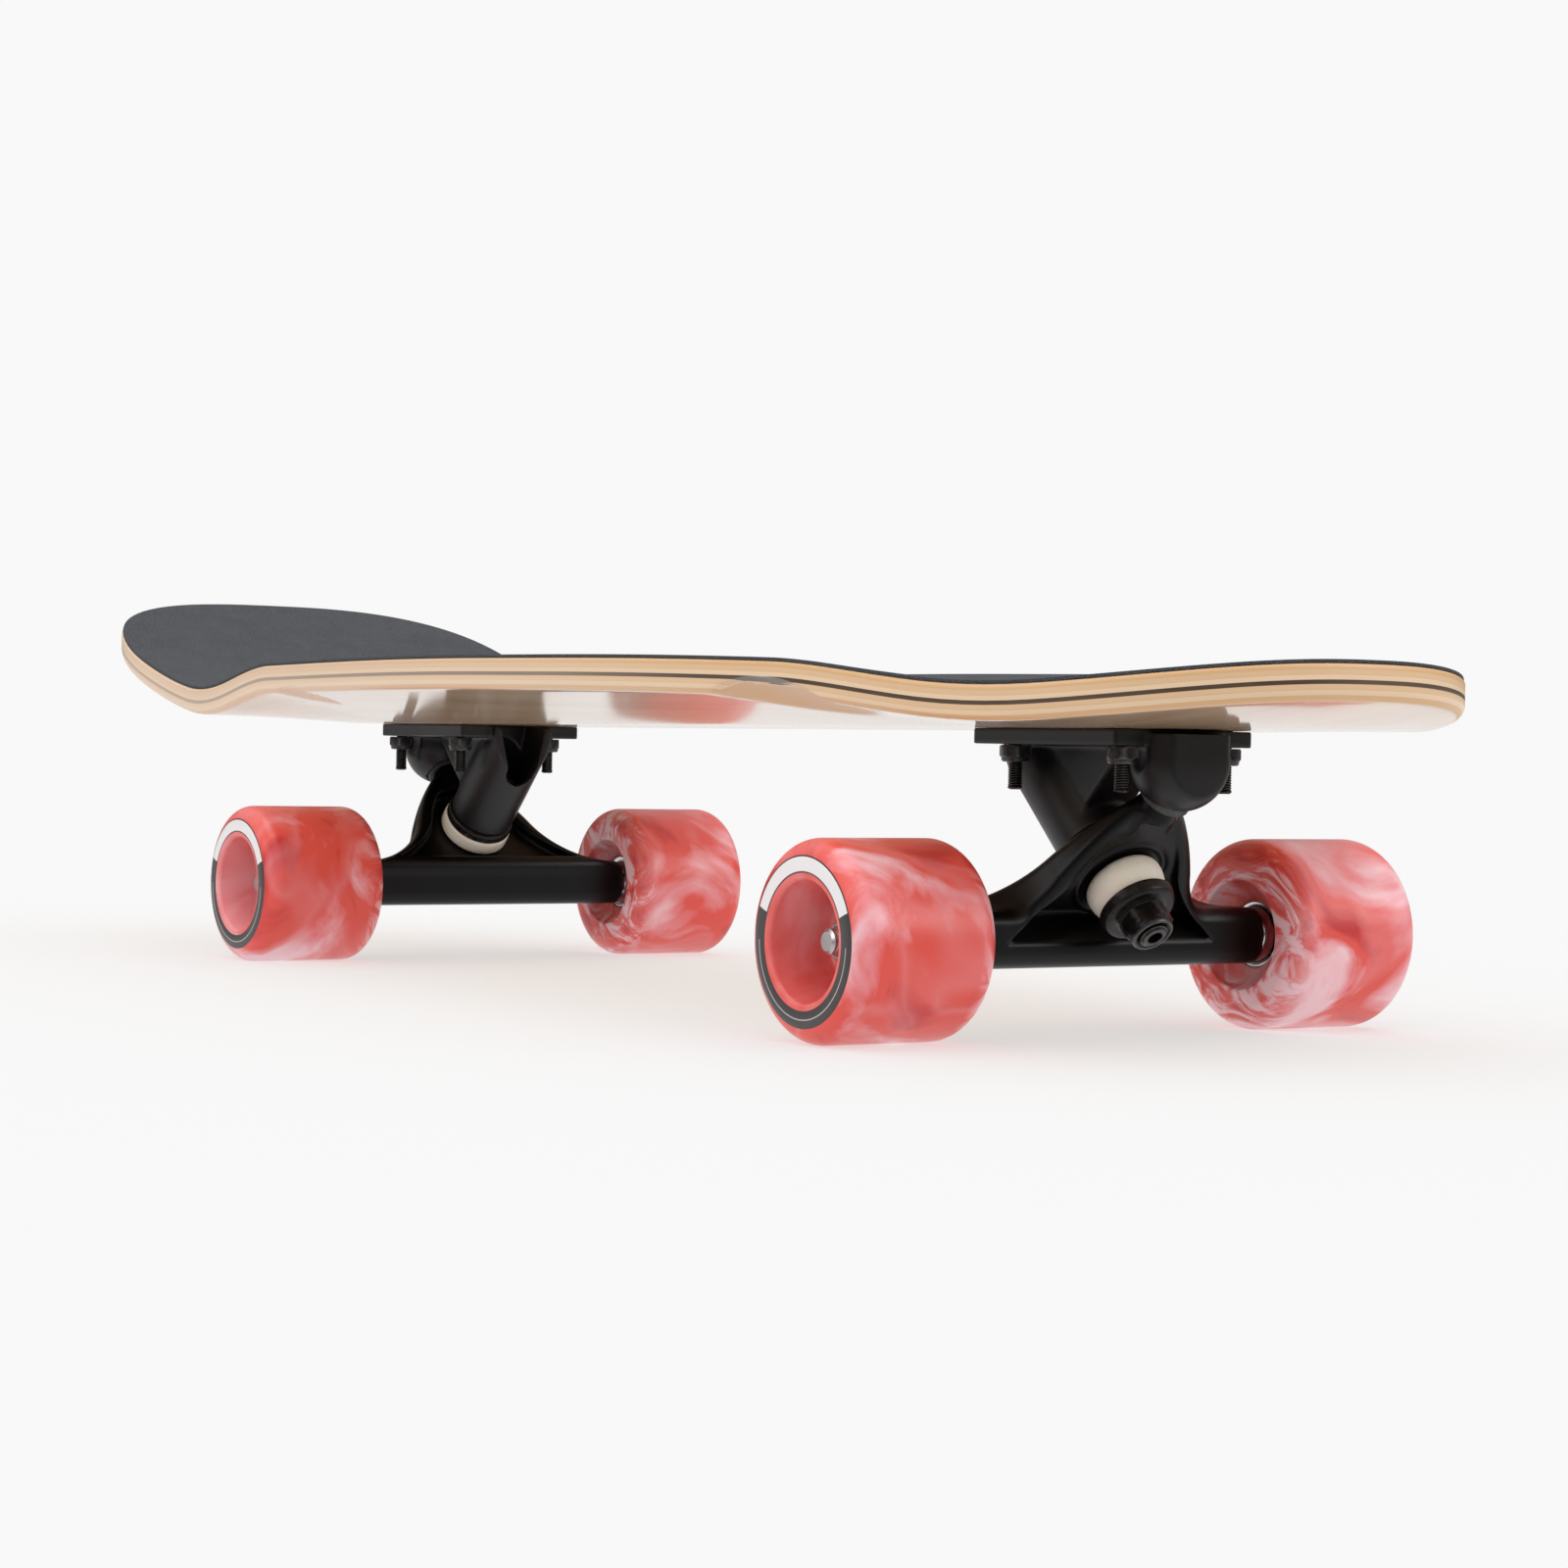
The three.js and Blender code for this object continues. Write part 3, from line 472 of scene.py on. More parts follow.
# ---------------------------------------------------------------- materials
class Nodes:
    """A material's node tree, written as calls that return output sockets."""

    def __init__(self, name):
        self.material = bpy.data.materials.new(name)
        self.material.use_nodes = True
        self.tree = self.material.node_tree
        self.tree.nodes.clear()
        self.output = self.tree.nodes.new("ShaderNodeOutputMaterial")
        self.shader = self.tree.nodes.new("ShaderNodeBsdfPrincipled")
        self.tree.links.new(self.shader.outputs[0], self.output.inputs[0])
        self.coords = self.tree.nodes.new("ShaderNodeTexCoord").outputs["Object"]

    def put(self, socket, value):
        if isinstance(value, bpy.types.NodeSocket):
            self.tree.links.new(value, socket)
        elif isinstance(value, (tuple, list)) and len(value) == 3 and socket.type == "RGBA":
            socket.default_value = (*value, 1)
        else:
            socket.default_value = value

    def set(self, **values):
        for key, value in values.items():
            self.put(self.shader.inputs[key.replace("_", " ")], value)

    def scaled(self, x, y, z, offset=(0, 0, 0), source=None):
        n = self.tree.nodes.new("ShaderNodeMapping")
        self.put(n.inputs["Vector"], source or self.coords)
        n.inputs["Scale"].default_value = (x, y, z)
        n.inputs["Location"].default_value = offset
        return n.outputs[0]

    def noise(self, vector, scale, detail=3, roughness=0.5, distortion=0.0, colour=False):
        n = self.tree.nodes.new("ShaderNodeTexNoise")
        self.put(n.inputs["Vector"], vector)
        n.inputs["Scale"].default_value = scale
        n.inputs["Detail"].default_value = detail
        n.inputs["Roughness"].default_value = roughness
        n.inputs["Distortion"].default_value = distortion
        return n.outputs["Color" if colour else 0]

    def cells(self, vector, scale, feature="F1"):
        n = self.tree.nodes.new("ShaderNodeTexVoronoi")
        n.feature = feature
        self.put(n.inputs["Vector"], vector)
        n.inputs["Scale"].default_value = scale
        return n.outputs["Distance"]

    def ramp(self, value, stops, interpolation="LINEAR"):
        n = self.tree.nodes.new("ShaderNodeValToRGB")
        self.put(n.inputs[0], value)
        n.color_ramp.interpolation = interpolation
        while len(n.color_ramp.elements) < len(stops):
            n.color_ramp.elements.new(0.5)
        for element, (at, colour) in zip(n.color_ramp.elements, stops):
            element.position = at
            if not isinstance(colour, (tuple, list)):
                colour = (colour,) * 3
            element.color = (*colour, 1)
        return n.outputs[0]

    def math(self, operation, *values):
        n = self.tree.nodes.new("ShaderNodeMath")
        n.operation = operation
        for socket, value in zip(n.inputs, values):
            self.put(socket, value)
        return n.outputs[0]

    def mix(self, factor, a, b, mode="MIX"):
        n = self.tree.nodes.new("ShaderNodeMix")
        n.data_type = "RGBA"
        n.blend_type = mode
        self.put(n.inputs[0], factor)
        self.put(n.inputs[6], a)
        self.put(n.inputs[7], b)
        return n.outputs[2]

    def add(self, a, b, scale=1.0):
        n = self.tree.nodes.new("ShaderNodeVectorMath")
        n.operation = "MULTIPLY_ADD"
        self.put(n.inputs[0], b)
        n.inputs[1].default_value = (scale,) * 3
        self.put(n.inputs[2], a)
        return n.outputs[0]

    def split(self, vector):
        n = self.tree.nodes.new("ShaderNodeSeparateXYZ")
        self.put(n.inputs[0], vector)
        return n.outputs

    def attribute(self, name):
        n = self.tree.nodes.new("ShaderNodeAttribute")
        n.attribute_name = name
        return n.outputs["Fac"]

    def bump(self, height, strength, distance):
        n = self.tree.nodes.new("ShaderNodeBump")
        n.inputs["Strength"].default_value = strength
        n.inputs["Distance"].default_value = distance
        self.put(n.inputs["Height"], height)
        self.put(self.shader.inputs["Normal"], n.outputs[0])

    def pointiness(self):
        return self.tree.nodes.new("ShaderNodeNewGeometry").outputs["Pointiness"]


def maple():
    """Lacquered maple: streaked faces, seven plies on the edge with a dark one in the middle."""
    m = Nodes("maple_plies")
    warp = m.noise(m.scaled(3, 14, 14), 1.0, 2, colour=True)
    along = m.add(m.scaled(2.2, 60, 60), warp, 1.4)
    figure = m.noise(along, 1.0, 5, 0.62)
    fine = m.noise(m.scaled(14, 700, 700), 1.0, 3, 0.6)
    face = m.ramp(figure, [(0.3, (0.58, 0.37, 0.21)), (0.5, (0.68, 0.47, 0.29)), (0.72, (0.76, 0.56, 0.38))])
    face = m.mix(m.math("MULTIPLY", fine, 0.22), face, (0.55, 0.32, 0.17))
    ply = m.attribute("ply")
    tan, cream, dark, glue = (0.72, 0.48, 0.28), (0.79, 0.58, 0.38), (0.022, 0.013, 0.011), (0.56, 0.35, 0.19)
    orange = (0.68, 0.41, 0.20)
    order = [(orange, 1), (cream, 1), (tan, 1.05), (dark, 0.85), (cream, 1.0), (tan, 1.1), (orange, 1.2)]
    stops, height, total = [], 0, sum(share for _, share in order)
    for colour, share in order:
        top = height + share / total
        joint = dark if colour is dark else glue
        stops += [(height + 0.004, colour), (top - 0.010, colour), (top - 0.005, joint)]
        height = top
    edge = m.ramp(ply, stops)
    edge_streak = m.noise(m.scaled(30, 30, 500), 1.0, 3, 0.6)
    edge = m.mix(m.math("MULTIPLY", edge_streak, 0.25), edge, (0.46, 0.28, 0.15))
    x, _, _ = m.split(m.coords)
    # The edge plies are mixed towards a pale tan, more the nearer they are to the tail: a smooth ramp along the
    # board's length.
    paler_to_tail = m.ramp(m.math("MULTIPLY_ADD", x, 1.25, 0.5), [(0.12, 0.62), (0.62, 0.25), (0.75, 0.0)])
    edge = m.mix(paler_to_tail, edge, (0.80, 0.63, 0.50))
    on_edge = m.ramp(ply, [(0.01, 0), (0.03, 1)])
    colour = m.mix(on_edge, face, edge)
    lacquer = m.ramp(ply, [(0.004, 0.95), (0.03, 0.12)])
    m.set(Base_Color=colour, Roughness=m.ramp(figure, [(0, 0.36), (1, 0.46)]),
          Coat_Weight=lacquer, Coat_Roughness=0.08)
    m.bump(m.math("ADD", m.math("MULTIPLY", fine, 0.3), figure), 0.02, 0.0001)
    return m.material


def grip():
    m = Nodes("grip_grit")
    grain = m.cells(m.coords, 2600)
    mottle = m.ramp(m.noise(m.coords, 60, 6, 0.7), [(0.35, 0.0), (0.65, 1.0)])
    # Sparse light grey specks in the base colour are painted glints off the grit.
    grit_glints = m.noise(m.coords, 3300, 1)
    shades = [(0.1, (0.016, 0.018, 0.021)), (0.5, (0.036, 0.039, 0.045)), (0.9, (0.075, 0.080, 0.090))]
    colour = m.ramp(grain, shades)
    colour = m.mix(m.math("MULTIPLY", mottle, 0.45), colour, (0.062, 0.067, 0.078))
    colour = m.mix(m.ramp(grit_glints, [(0.66, 0), (0.72, 0.5)]), colour, (0.3, 0.31, 0.33))
    m.set(Base_Color=colour, Roughness=0.86)
    m.bump(grain, 0.9, 0.0005)
    return m.material


def casting(name, dark, light, rough, gloss):
    """Satin black powder coat with a faint orange peel."""
    m = Nodes(name)
    peel = m.noise(m.coords, 900, 3, 0.55)
    cloud = m.noise(m.coords, 60, 3)
    m.set(Base_Color=m.ramp(cloud, [(0.3, dark), (0.7, light)]), Specular_IOR_Level=gloss,
          Roughness=m.ramp(cloud, [(0.2, rough), (0.8, rough + 0.1)]))
    m.bump(peel, 0.15, 0.0002)
    return m.material


def black_steel(name="black_steel", dark=(0.007, 0.0065, 0.007), light=(0.016, 0.015, 0.016)):
    m = Nodes(name)
    rub = m.noise(m.coords, 500, 4, 0.6)
    worn = m.ramp(m.math("ADD", m.pointiness(), m.math("MULTIPLY", rub, 0.05)), [(0.56, 0), (0.64, 1)])
    colour = m.mix(worn, m.ramp(rub, [(0.3, dark), (0.7, light)]), (0.20, 0.19, 0.18))
    m.set(Base_Color=colour, Metallic=0.75, Roughness=m.ramp(rub, [(0.2, 0.28), (0.8, 0.42)]))
    m.bump(rub, 0.08, 0.0001)
    return m.material


def steel(name, tint=(0.56, 0.55, 0.54), rough=0.26):
    m = Nodes(name)
    rings = m.noise(m.scaled(80, 80, 2600), 1.0, 2)
    smudge = m.noise(m.coords, 140, 4)
    m.set(Base_Color=m.ramp(smudge, [(0.3, tuple(0.78 * c for c in tint)), (0.7, tint)]), Metallic=1.0,
          Roughness=m.ramp(rings, [(0.2, rough), (0.8, rough + 0.14)]))
    m.bump(rings, 0.06, 0.0001)
    return m.material


def bearing_seal():
    m = Nodes("bearing_seal")
    mottle = m.noise(m.coords, 380, 3)
    m.set(Base_Color=m.ramp(mottle, [(0.3, (0.30, 0.03, 0.035)), (0.7, (0.45, 0.06, 0.06))]), Roughness=0.42)
    m.bump(mottle, 0.1, 0.0001)
    return m.material


def ivory():
    m = Nodes("ivory_urethane")
    cloud = m.noise(m.coords, 130, 3)
    speck = m.noise(m.coords, 1500, 2)
    colour = m.ramp(cloud, [(0.25, (0.80, 0.74, 0.62)), (0.75, (0.87, 0.83, 0.73))])
    m.set(Base_Color=colour, Roughness=0.42, Subsurface_Weight=0.35, Subsurface_Radius=(0.004, 0.003, 0.0015),
          Subsurface_Scale=1.0)
    m.bump(speck, 0.06, 0.0001)
    return m.material


def plastic(name, dark, light, rough=0.5):
    m = Nodes(name)
    grain = m.noise(m.coords, 900, 3)
    m.set(Base_Color=m.ramp(grain, [(0.3, dark), (0.7, light)]), Roughness=rough)
    m.bump(grain, 0.1, 0.0001)
    return m.material


CORAL, DEEP, PINK, CREAM = (0.74, 0.078, 0.058), (0.55, 0.024, 0.026), (0.80, 0.27, 0.29), (0.86, 0.56, 0.60)


# The print on a wheel's outer face: radii in mm and half angles in radians.
PRINTED_RING = (20.9, 26.3)
PALE_PANEL = (21.4, 25.8)
PANEL_HALF_ANGLE = 1.18
THIN_LINE = (23.4, 23.75)
LINE_HALF_ANGLE = 1.55
BOWL_RADIUS = 20.7
BOWL_DEPTH = 20.0


def urethane(name, seed, pale, up):
    """Two poured colours of urethane folded into each other, with a printed ring on the outer face."""
    m = Nodes(name)
    placed = m.scaled(1, 1, 1, offset=(seed * 0.37, seed * 0.21, seed * 0.53))
    fold = m.noise(placed, 16, 1, colour=True)
    bent = m.add(placed, fold, 0.055)
    swirl = m.noise(bent, 27, 5, 0.5, 0.5)
    wisps = m.noise(m.add(placed, fold, 0.10), 70, 4, 0.55, 1.0)
    vein = m.math("ABSOLUTE", m.math("SUBTRACT", m.noise(m.add(placed, fold, 0.08), 30, 2, 0.4), 0.5))
    low = 0.58 - 0.12 * pale
    poured = [(0.34, DEEP), (0.43, CORAL), (low - 0.02, CORAL), (low + 0.05, PINK), (low + 0.13, CREAM)]
    body = m.ramp(swirl, poured)
    body = m.mix(m.ramp(vein, [(0.0, 0.30), (0.075, 0.0)]), body, m.mix(0.2, PINK, CREAM))
    x, y, z = m.split(m.coords)
    churned = m.ramp(m.math("MULTIPLY", z, 10), [(0.60, 1.0), (0.68, 0.0)])
    streaks = m.ramp(m.noise(m.add(placed, fold, 0.16), 62, 5, 0.6, 1.2),
                     [(0.40, DEEP), (0.46, CORAL), (0.49, CORAL), (0.53, PINK), (0.58, CREAM)])
    body = m.mix(m.math("MULTIPLY", churned, 0.88), body, streaks)
    square = m.math("ADD", m.math("MULTIPLY", x, x), m.math("MULTIPLY", y, y))
    radius = m.math("MULTIPLY", m.math("SQRT", square), 1 / MM)
    angle = m.math("ARCTAN2", y, x)
    outer = m.math("GREATER_THAN", z, (WHEEL_OUTER_FACE - 2.4) * MM)

    def band(low, high):
        inside = m.math("MULTIPLY", m.math("GREATER_THAN", radius, low), m.math("LESS_THAN", radius, high))
        return m.math("MULTIPLY", inside, outer)

    def within(centre, half):
        turned = m.math("ABSOLUTE", m.math("SUBTRACT", angle, centre))
        return m.math("LESS_THAN", turned, half)

    deep_end = m.math("GREATER_THAN", z, (WHEEL_OUTER_FACE - BOWL_DEPTH) * MM)
    bowl = m.math("MULTIPLY", m.math("LESS_THAN", radius, BOWL_RADIUS), deep_end)
    lining = m.mix(m.ramp(swirl, [(0.4, 0.0), (0.65, 1.0)]), (0.70, 0.085, 0.065), (0.80, 0.27, 0.28))
    body = m.mix(m.math("MULTIPLY", bowl, 0.8), body, lining)
    ink = m.mix(m.noise(m.coords, 300, 3), (0.040, 0.033, 0.033), (0.055, 0.046, 0.046))
    body = m.mix(band(*PRINTED_RING), body, ink)
    body = m.mix(m.math("MULTIPLY", band(*PALE_PANEL), within(up, PANEL_HALF_ANGLE)), body, (0.80, 0.77, 0.77))
    body = m.mix(m.math("MULTIPLY", band(*THIN_LINE), within(-up, LINE_HALF_ANGLE)), body, (0.50, 0.45, 0.45))
    m.set(Base_Color=body, Roughness=m.ramp(wisps, [(0.2, 0.32), (0.8, 0.40)]), Subsurface_Weight=0.2,
          Subsurface_Radius=(0.006, 0.002, 0.002), Subsurface_Scale=1.0)
    m.bump(m.noise(m.coords, 260, 3), 0.04, 0.0002)
    return m.material


MAPLE = maple()
GRIP = grip()
CASTING = casting("plate_casting", (0.0062, 0.0056, 0.0062), (0.0095, 0.0085, 0.0095), 0.38, 0.4)
# The hanger gets the same powder coat as the plate, made several times darker and less glossy: this is painted
# shade for the hanger sitting under the board and reflecting dark surroundings.
HANGER_CASTING_SHADED = casting("hanger_casting_shaded", (0.0014, 0.0011, 0.0012), (0.0026, 0.0020, 0.0020), 0.28, 0.22)
BLACK_STEEL = black_steel()
FASTENER_STEEL = black_steel("fastener_steel", (0.030, 0.029, 0.031), (0.075, 0.073, 0.075))
WASHER_STEEL = black_steel("washer_steel", (0.012, 0.010, 0.010), (0.028, 0.023, 0.022))
STEEL = steel("axle_steel")
BEARING_STEEL = steel("bearing_steel", (0.72, 0.71, 0.70), 0.16)
SEAL = bearing_seal()
IVORY = ivory()
CUP_PLASTIC = plastic("cup_plastic", (0.02, 0.02, 0.02), (0.05, 0.05, 0.05))


# ---------------------------------------------------------------- deck
NOSE_TIP = DECK_LENGTH / 2
TAIL_TIP = -DECK_LENGTH / 2
NOSE_ARC_START = NOSE_TIP - 99.6
KICK_START = MID_WHEELBASE - 245.7


def smooth(t):
    t = np.clip(t, 0, 1)
    return t * t * (3 - 2 * t)


def half_width(x):
    nose = np.clip((x - NOSE_TIP + NOSE_LENGTH) / NOSE_LENGTH, 0, 1)
    tail = np.clip((TAIL_TIP + TAIL_LENGTH - x) / TAIL_LENGTH, 0, 1)
    widening = smooth((x - TAIL_TIP - TAIL_LENGTH) / 344.5)
    middle = TAIL_HALF_WIDTH + (DECK_HALF_WIDTH - TAIL_HALF_WIDTH) * widening
    rounded_nose = (1 - nose ** NOSE_POWER) ** (1 / NOSE_POWER)
    rounded_tail = (1 - tail ** TAIL_POWER) ** (1 / TAIL_POWER)
    return middle * rounded_nose * rounded_tail


def spine(x):
    nose = np.maximum(0, x - NOSE_ARC_START) ** 2 / (2 * NOSE_RADIUS)
    reach = np.maximum(0, KICK_START - x)
    arc_reach = KICK_RADIUS * math.sin(KICK_ANGLE)
    bend = KICK_RADIUS - np.sqrt(KICK_RADIUS ** 2 - np.minimum(reach, arc_reach) ** 2)
    return nose + bend + np.maximum(0, reach - arc_reach) * math.tan(KICK_ANGLE)


def concave(x, y):
    fade = smooth((x - MID_WHEELBASE + 295.3) / 97.7) * smooth((MID_WHEELBASE + 281.3 - x) / 101.5)
    across = np.maximum(0, np.abs(y) - 40) / (DECK_HALF_WIDTH - 40)
    return CONCAVE_RISE * (1 + CONCAVE_TILT * (x - MID_WHEELBASE)) * fade * across ** CONCAVE_POWER


def underside(x, y):
    return DECK_UNDERSIDE + spine(x) + concave(x, y)


def well(x, y):
    """How far a wheel well is sunk above the underside."""
    start = concave(np.float64(MID_WHEELBASE), np.float64(WELL_START))
    rail = concave(np.float64(MID_WHEELBASE), np.float64(DECK_HALF_WIDTH)) + WELL_DEPTH
    slope = (rail - start) / (DECK_HALF_WIDTH - WELL_START)
    depth = np.zeros_like(x)
    for side in (1, -1):
        dx = np.minimum(np.abs(x - MID_WHEELBASE - side * WELL_REACH), WELL_RADIUS - 1)
        drop = (WELL_RADIUS - np.sqrt(WELL_RADIUS ** 2 - dx ** 2)) * math.sqrt(1 + slope ** 2)
        level = start + (np.abs(y) - WELL_START) * slope - drop
        depth = np.maximum(depth, level - concave(x, y))
    return depth


def outline_grid(columns, rows):
    """A square grid bent into the unit disc, so that its border runs round the deck's outline."""
    u, v = np.meshgrid(np.linspace(-1, 1, columns + 1), np.linspace(-1, 1, rows + 1), indexing="ij")
    return u * np.sqrt(1 - v * v / 2), v * np.sqrt(1 - u * u / 2)


def on_deck(p, q):
    rho = np.maximum(np.hypot(p, q), 1e-9)
    cosine = np.clip(p / rho, -1, 1)
    reach = DECK_LENGTH / 2
    return reach * p, rho * half_width(reach * cosine) * np.sign(q)


def deck_sheet(low, high, rim, columns=200, rows=56, wells=False):
    """A closed sheet following the deck. rim lists (inset, height share) from the top edge down."""
    p, q = outline_grid(columns, rows)
    border = [(i, 0) for i in range(columns)] + [(columns, j) for j in range(rows)]
    border += [(i, rows) for i in range(columns, 0, -1)] + [(0, j) for j in range(rows, 0, -1)]
    bi, bj = map(np.array, zip(*border))
    ox, oy = on_deck(p, q)
    edge = np.stack([ox[bi, bj], oy[bi, bj]], -1)
    ahead, behind = np.roll(edge, -1, 0), np.roll(edge, 1, 0)
    tangent = ahead - behind
    normal = np.stack([tangent[:, 1], -tangent[:, 0]], -1)
    normal /= np.linalg.norm(normal, axis=1, keepdims=True)
    thickness = high - low
    shrink = rim[0][0]

    def patch(inset):
        scale_x, scale_y = 1 - inset / (DECK_LENGTH / 2), 1 - inset / DECK_HALF_WIDTH
        return ox * scale_x, oy * scale_y

    verts, ply = [], []

    def emit(x, y, share):
        base = underside(x, y)
        h = np.maximum(low + share * thickness, well(x, y) if wells else -1e9)
        start = sum(len(v) for v in verts)
        verts.append(np.stack([x, y, base + h], -1))
        ply.append(h / DECK_THICKNESS)
        if wells and share.max() < 1e-6:
            ply[-1] = np.where(ply[-1] > DARK_PLY, ply[-1], np.minimum(ply[-1], WELL_PLY))
        return start + np.arange(len(x))

    faces = []

    def sheet(inset, share, upward):
        x, y = patch(inset)
        rim_edge = edge - normal * inset
        x[bi, bj], y[bi, bj] = rim_edge.T
        ids = emit(x.ravel(), y.ravel(), np.full(x.size, float(share))).reshape(x.shape)
        quads = np.stack([ids[:-1, :-1], ids[1:, :-1], ids[1:, 1:], ids[:-1, 1:]], -1).reshape(-1, 4)
        faces.append(quads if upward else quads[:, ::-1])
        return ids[bi, bj]

    previous = sheet(shrink, rim[0][1], True)
    for k, (inset, share) in enumerate(rim[1:]):
        if k == len(rim) - 2:
            ring = sheet(inset, share, False)
        else:
            ring_xy = edge - normal * inset
            ring = emit(ring_xy[:, 0], ring_xy[:, 1], np.full(len(ring_xy), float(share)))
        faces.append(np.stack([previous, ring, np.roll(ring, -1), np.roll(previous, -1)], -1))
        previous = ring
    return np.concatenate(verts), np.concatenate(faces), np.concatenate(ply)


def rounded_rim(top_radius, bottom_radius, thickness, steps):
    rim = [(top_radius * (1 - math.sin(a)), 1 - top_radius * (1 - math.cos(a)) / thickness)
           for a in np.linspace(0, math.pi / 2, steps + 1)]
    for share in np.linspace(1 - top_radius / thickness, bottom_radius / thickness, 8)[1:-1]:
        rim.append((0, share))
    rim += [(bottom_radius * (1 - math.cos(a)), bottom_radius * (1 - math.sin(a)) / thickness)
            for a in np.linspace(0, math.pi / 2, steps + 3)]
    return rim


def build_deck():
    verts, faces, ply = deck_sheet(0, DECK_THICKNESS, rounded_rim(1.2, 3.6, DECK_THICKNESS, 4), wells=True)
    deck = make_piece("deck_wood", verts, faces, Matrix.Identity(4), 40, [MAPLE], attribute=("ply", ply))
    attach(deck, "board")
    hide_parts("deck")
    low = DECK_THICKNESS + 0.05
    top = DECK_THICKNESS + GAP + GRIP_THICKNESS
    rim = [(0.9, 1), (0.55, 0.9), (0.45, 0.6), (0.45, 0)]
    verts, faces, _ = deck_sheet(low, top, rim)
    sheet = make_piece("grip_sheet", verts, faces, Matrix.Identity(4), 40, [GRIP])
    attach(sheet, "board")
    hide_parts("grip_tape")


# ---------------------------------------------------------------- truck pieces
def place_piece(name, shape, place, body, node, slot, materials, sharp=35, face_materials=None):
    verts, faces = shape
    piece = make_piece(name, verts, faces, place, sharp, materials, face_materials)
    if body is not None:
        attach(piece, body)
    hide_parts(node)
    return piece


def axle_shape():
    half = AXLE_HALF_LENGTH
    thread_start = OUTER_BEARING_FACE - 3
    foot = [(0, -half), (3.0, -half), (3.55, -half + 0.5)]
    head = [(3.55, half - 0.5), (3.0, half), (0, half)]
    low, low_faces = threaded(AXLE_RADIUS, -half + 0.7, -thread_start, THREAD_PITCH, 0.55,
                              foot=foot, head=[(0, -thread_start)])
    high, high_faces = threaded(AXLE_RADIUS, thread_start, half - 0.7, THREAD_PITCH, 0.55,
                                head=head, foot=[(0, thread_start)])
    shank = [(0, -thread_start - 1), (3.9, -thread_start - 1), (AXLE_RADIUS, -thread_start)]
    shank += [(AXLE_RADIUS, thread_start), (3.9, thread_start + 1), (0, thread_start + 1)]
    mid, mid_faces = revolve(shank, 48)
    verts = np.concatenate([low, mid, high])
    faces = list(low_faces) + [[i + len(low) for i in f] for f in mid_faces]
    faces += [[i + len(low) + len(mid) for i in f] for f in high_faces]
    return verts, faces


def kingpin_shape():
    low = NUT_LOW - 1
    head_low, head_top = HEAD_SEAT + GAP, HEAD_SEAT + 6
    foot = [(0, low + 2.2), (2.3, low + 2.2), (2.5, low), (3.7, low), (4.2, low + 0.5)]
    head = [(KINGPIN_RADIUS, -14), (KINGPIN_RADIUS, head_low), (6.8, head_low), (8, head_low + 0.4),
            (8, head_top - 0.5), (7.0, head_top), (0, head_top)]
    flats = [None, None, 6.9, 6.9, 6.9, 6.9, None]
    return threaded(KINGPIN_RADIUS, low + 0.8, -15, THREAD_PITCH, 0.5,
                    head=head, foot=foot, segments=36, head_flats=flats)


def kingpin_nut_shape():
    low = NUT_LOW
    inner = KINGPIN_RADIUS + 0.15
    profile = [(inner, NUT_TOP), (inner, low + 0.9), (5.4, low + 0.5), (6.1, low), (6.7, low + 0.15)]
    profile += [(7.1, low + 0.8), (7.15, low + 2.0), (7.3, low + 2.4), (8.3, low + 2.9)]
    profile += [(8.3, NUT_TOP - 0.7), (7.6, NUT_TOP)]
    flats = [None] * 7 + [7.15] * 4
    return revolve(profile, 72, closed=True, flats=flats)


def locknut_shape():
    top = -PLATE_THICKNESS - GAP
    low = top - 5.4
    inner = 2.55
    profile = [(inner, top), (inner, low + 0.6), (3.1, low + 0.3), (3.6, low), (4.15, low + 0.12)]
    profile += [(4.5, low + 0.6), (4.55, low + 1.3), (4.8, low + 1.6), (5.5, low + 2.0)]
    profile += [(5.5, top - 0.5), (4.8, top)]
    flats = [None] * 8 + [4.76, 4.76, 4.76]
    return revolve(profile, 60, closed=True, flats=flats)


def axle_nut_shape():
    base = OUTER_BEARING_FACE + 1.2
    inner = AXLE_RADIUS + 0.1
    profile = [(inner, base), (6.6, base), (7.4, base + 0.5), (7.4, base + 4.4), (6.6, base + 4.9)]
    profile += [(6.0, base + 5.1), (5.95, base + 6.3), (5.4, base + 7), (4.7, base + 7)]
    profile += [(4.5, base + 6.6), (inner, base + 6.4)]
    flats = [None, 6.5, 6.5, 6.5, None, None, None, None, None, None, None]
    return revolve(profile, 72, closed=True, flats=flats)


def upper_bushing_shape():
    low = WEB_TOP + GAP
    high = BOSS_END - 2 * GAP - WASHER_THICKNESS
    r = UPPER_BUSHING_RADIUS
    outside = [(BUSHING_BORE, low), (r - 1.3, low)] + arc(r - 1.2, low + 1.2, 1.2, -80, -10, 5)
    outside += [(r, low + 2.4), (r - 0.1, CUP_LIP - 1.2)] + arc(r - 1.0, CUP_LIP - 1.2, 0.9, 10, 80, 4)
    return revolve(outside + [(13.3, CUP_LIP + 0.3), (12.9, high), (BUSHING_BORE, high)], 96, closed=True)


def lower_bushing_shape():
    high = WEB_BOTTOM - GAP
    low = LOWER_WASHER_TOP + GAP
    r = LOWER_BUSHING_RADIUS
    side = [(BUSHING_BORE, low), (9.3, low), (9.8, low + 0.25), (10.2, low + 0.9)]
    middle = high - 3.6
    for t in np.linspace(0.12, 0.95, 8):
        side.append((10.3 + (r - 10.3) * math.sin(t * math.pi / 2), low + 0.9 + t * (middle - low - 0.9)))
    side += arc(r - 3.2, high - 3.2, 3.2, 0, 85, 8) + [(BUSHING_BORE, high)]
    return revolve(side, 96, closed=True)


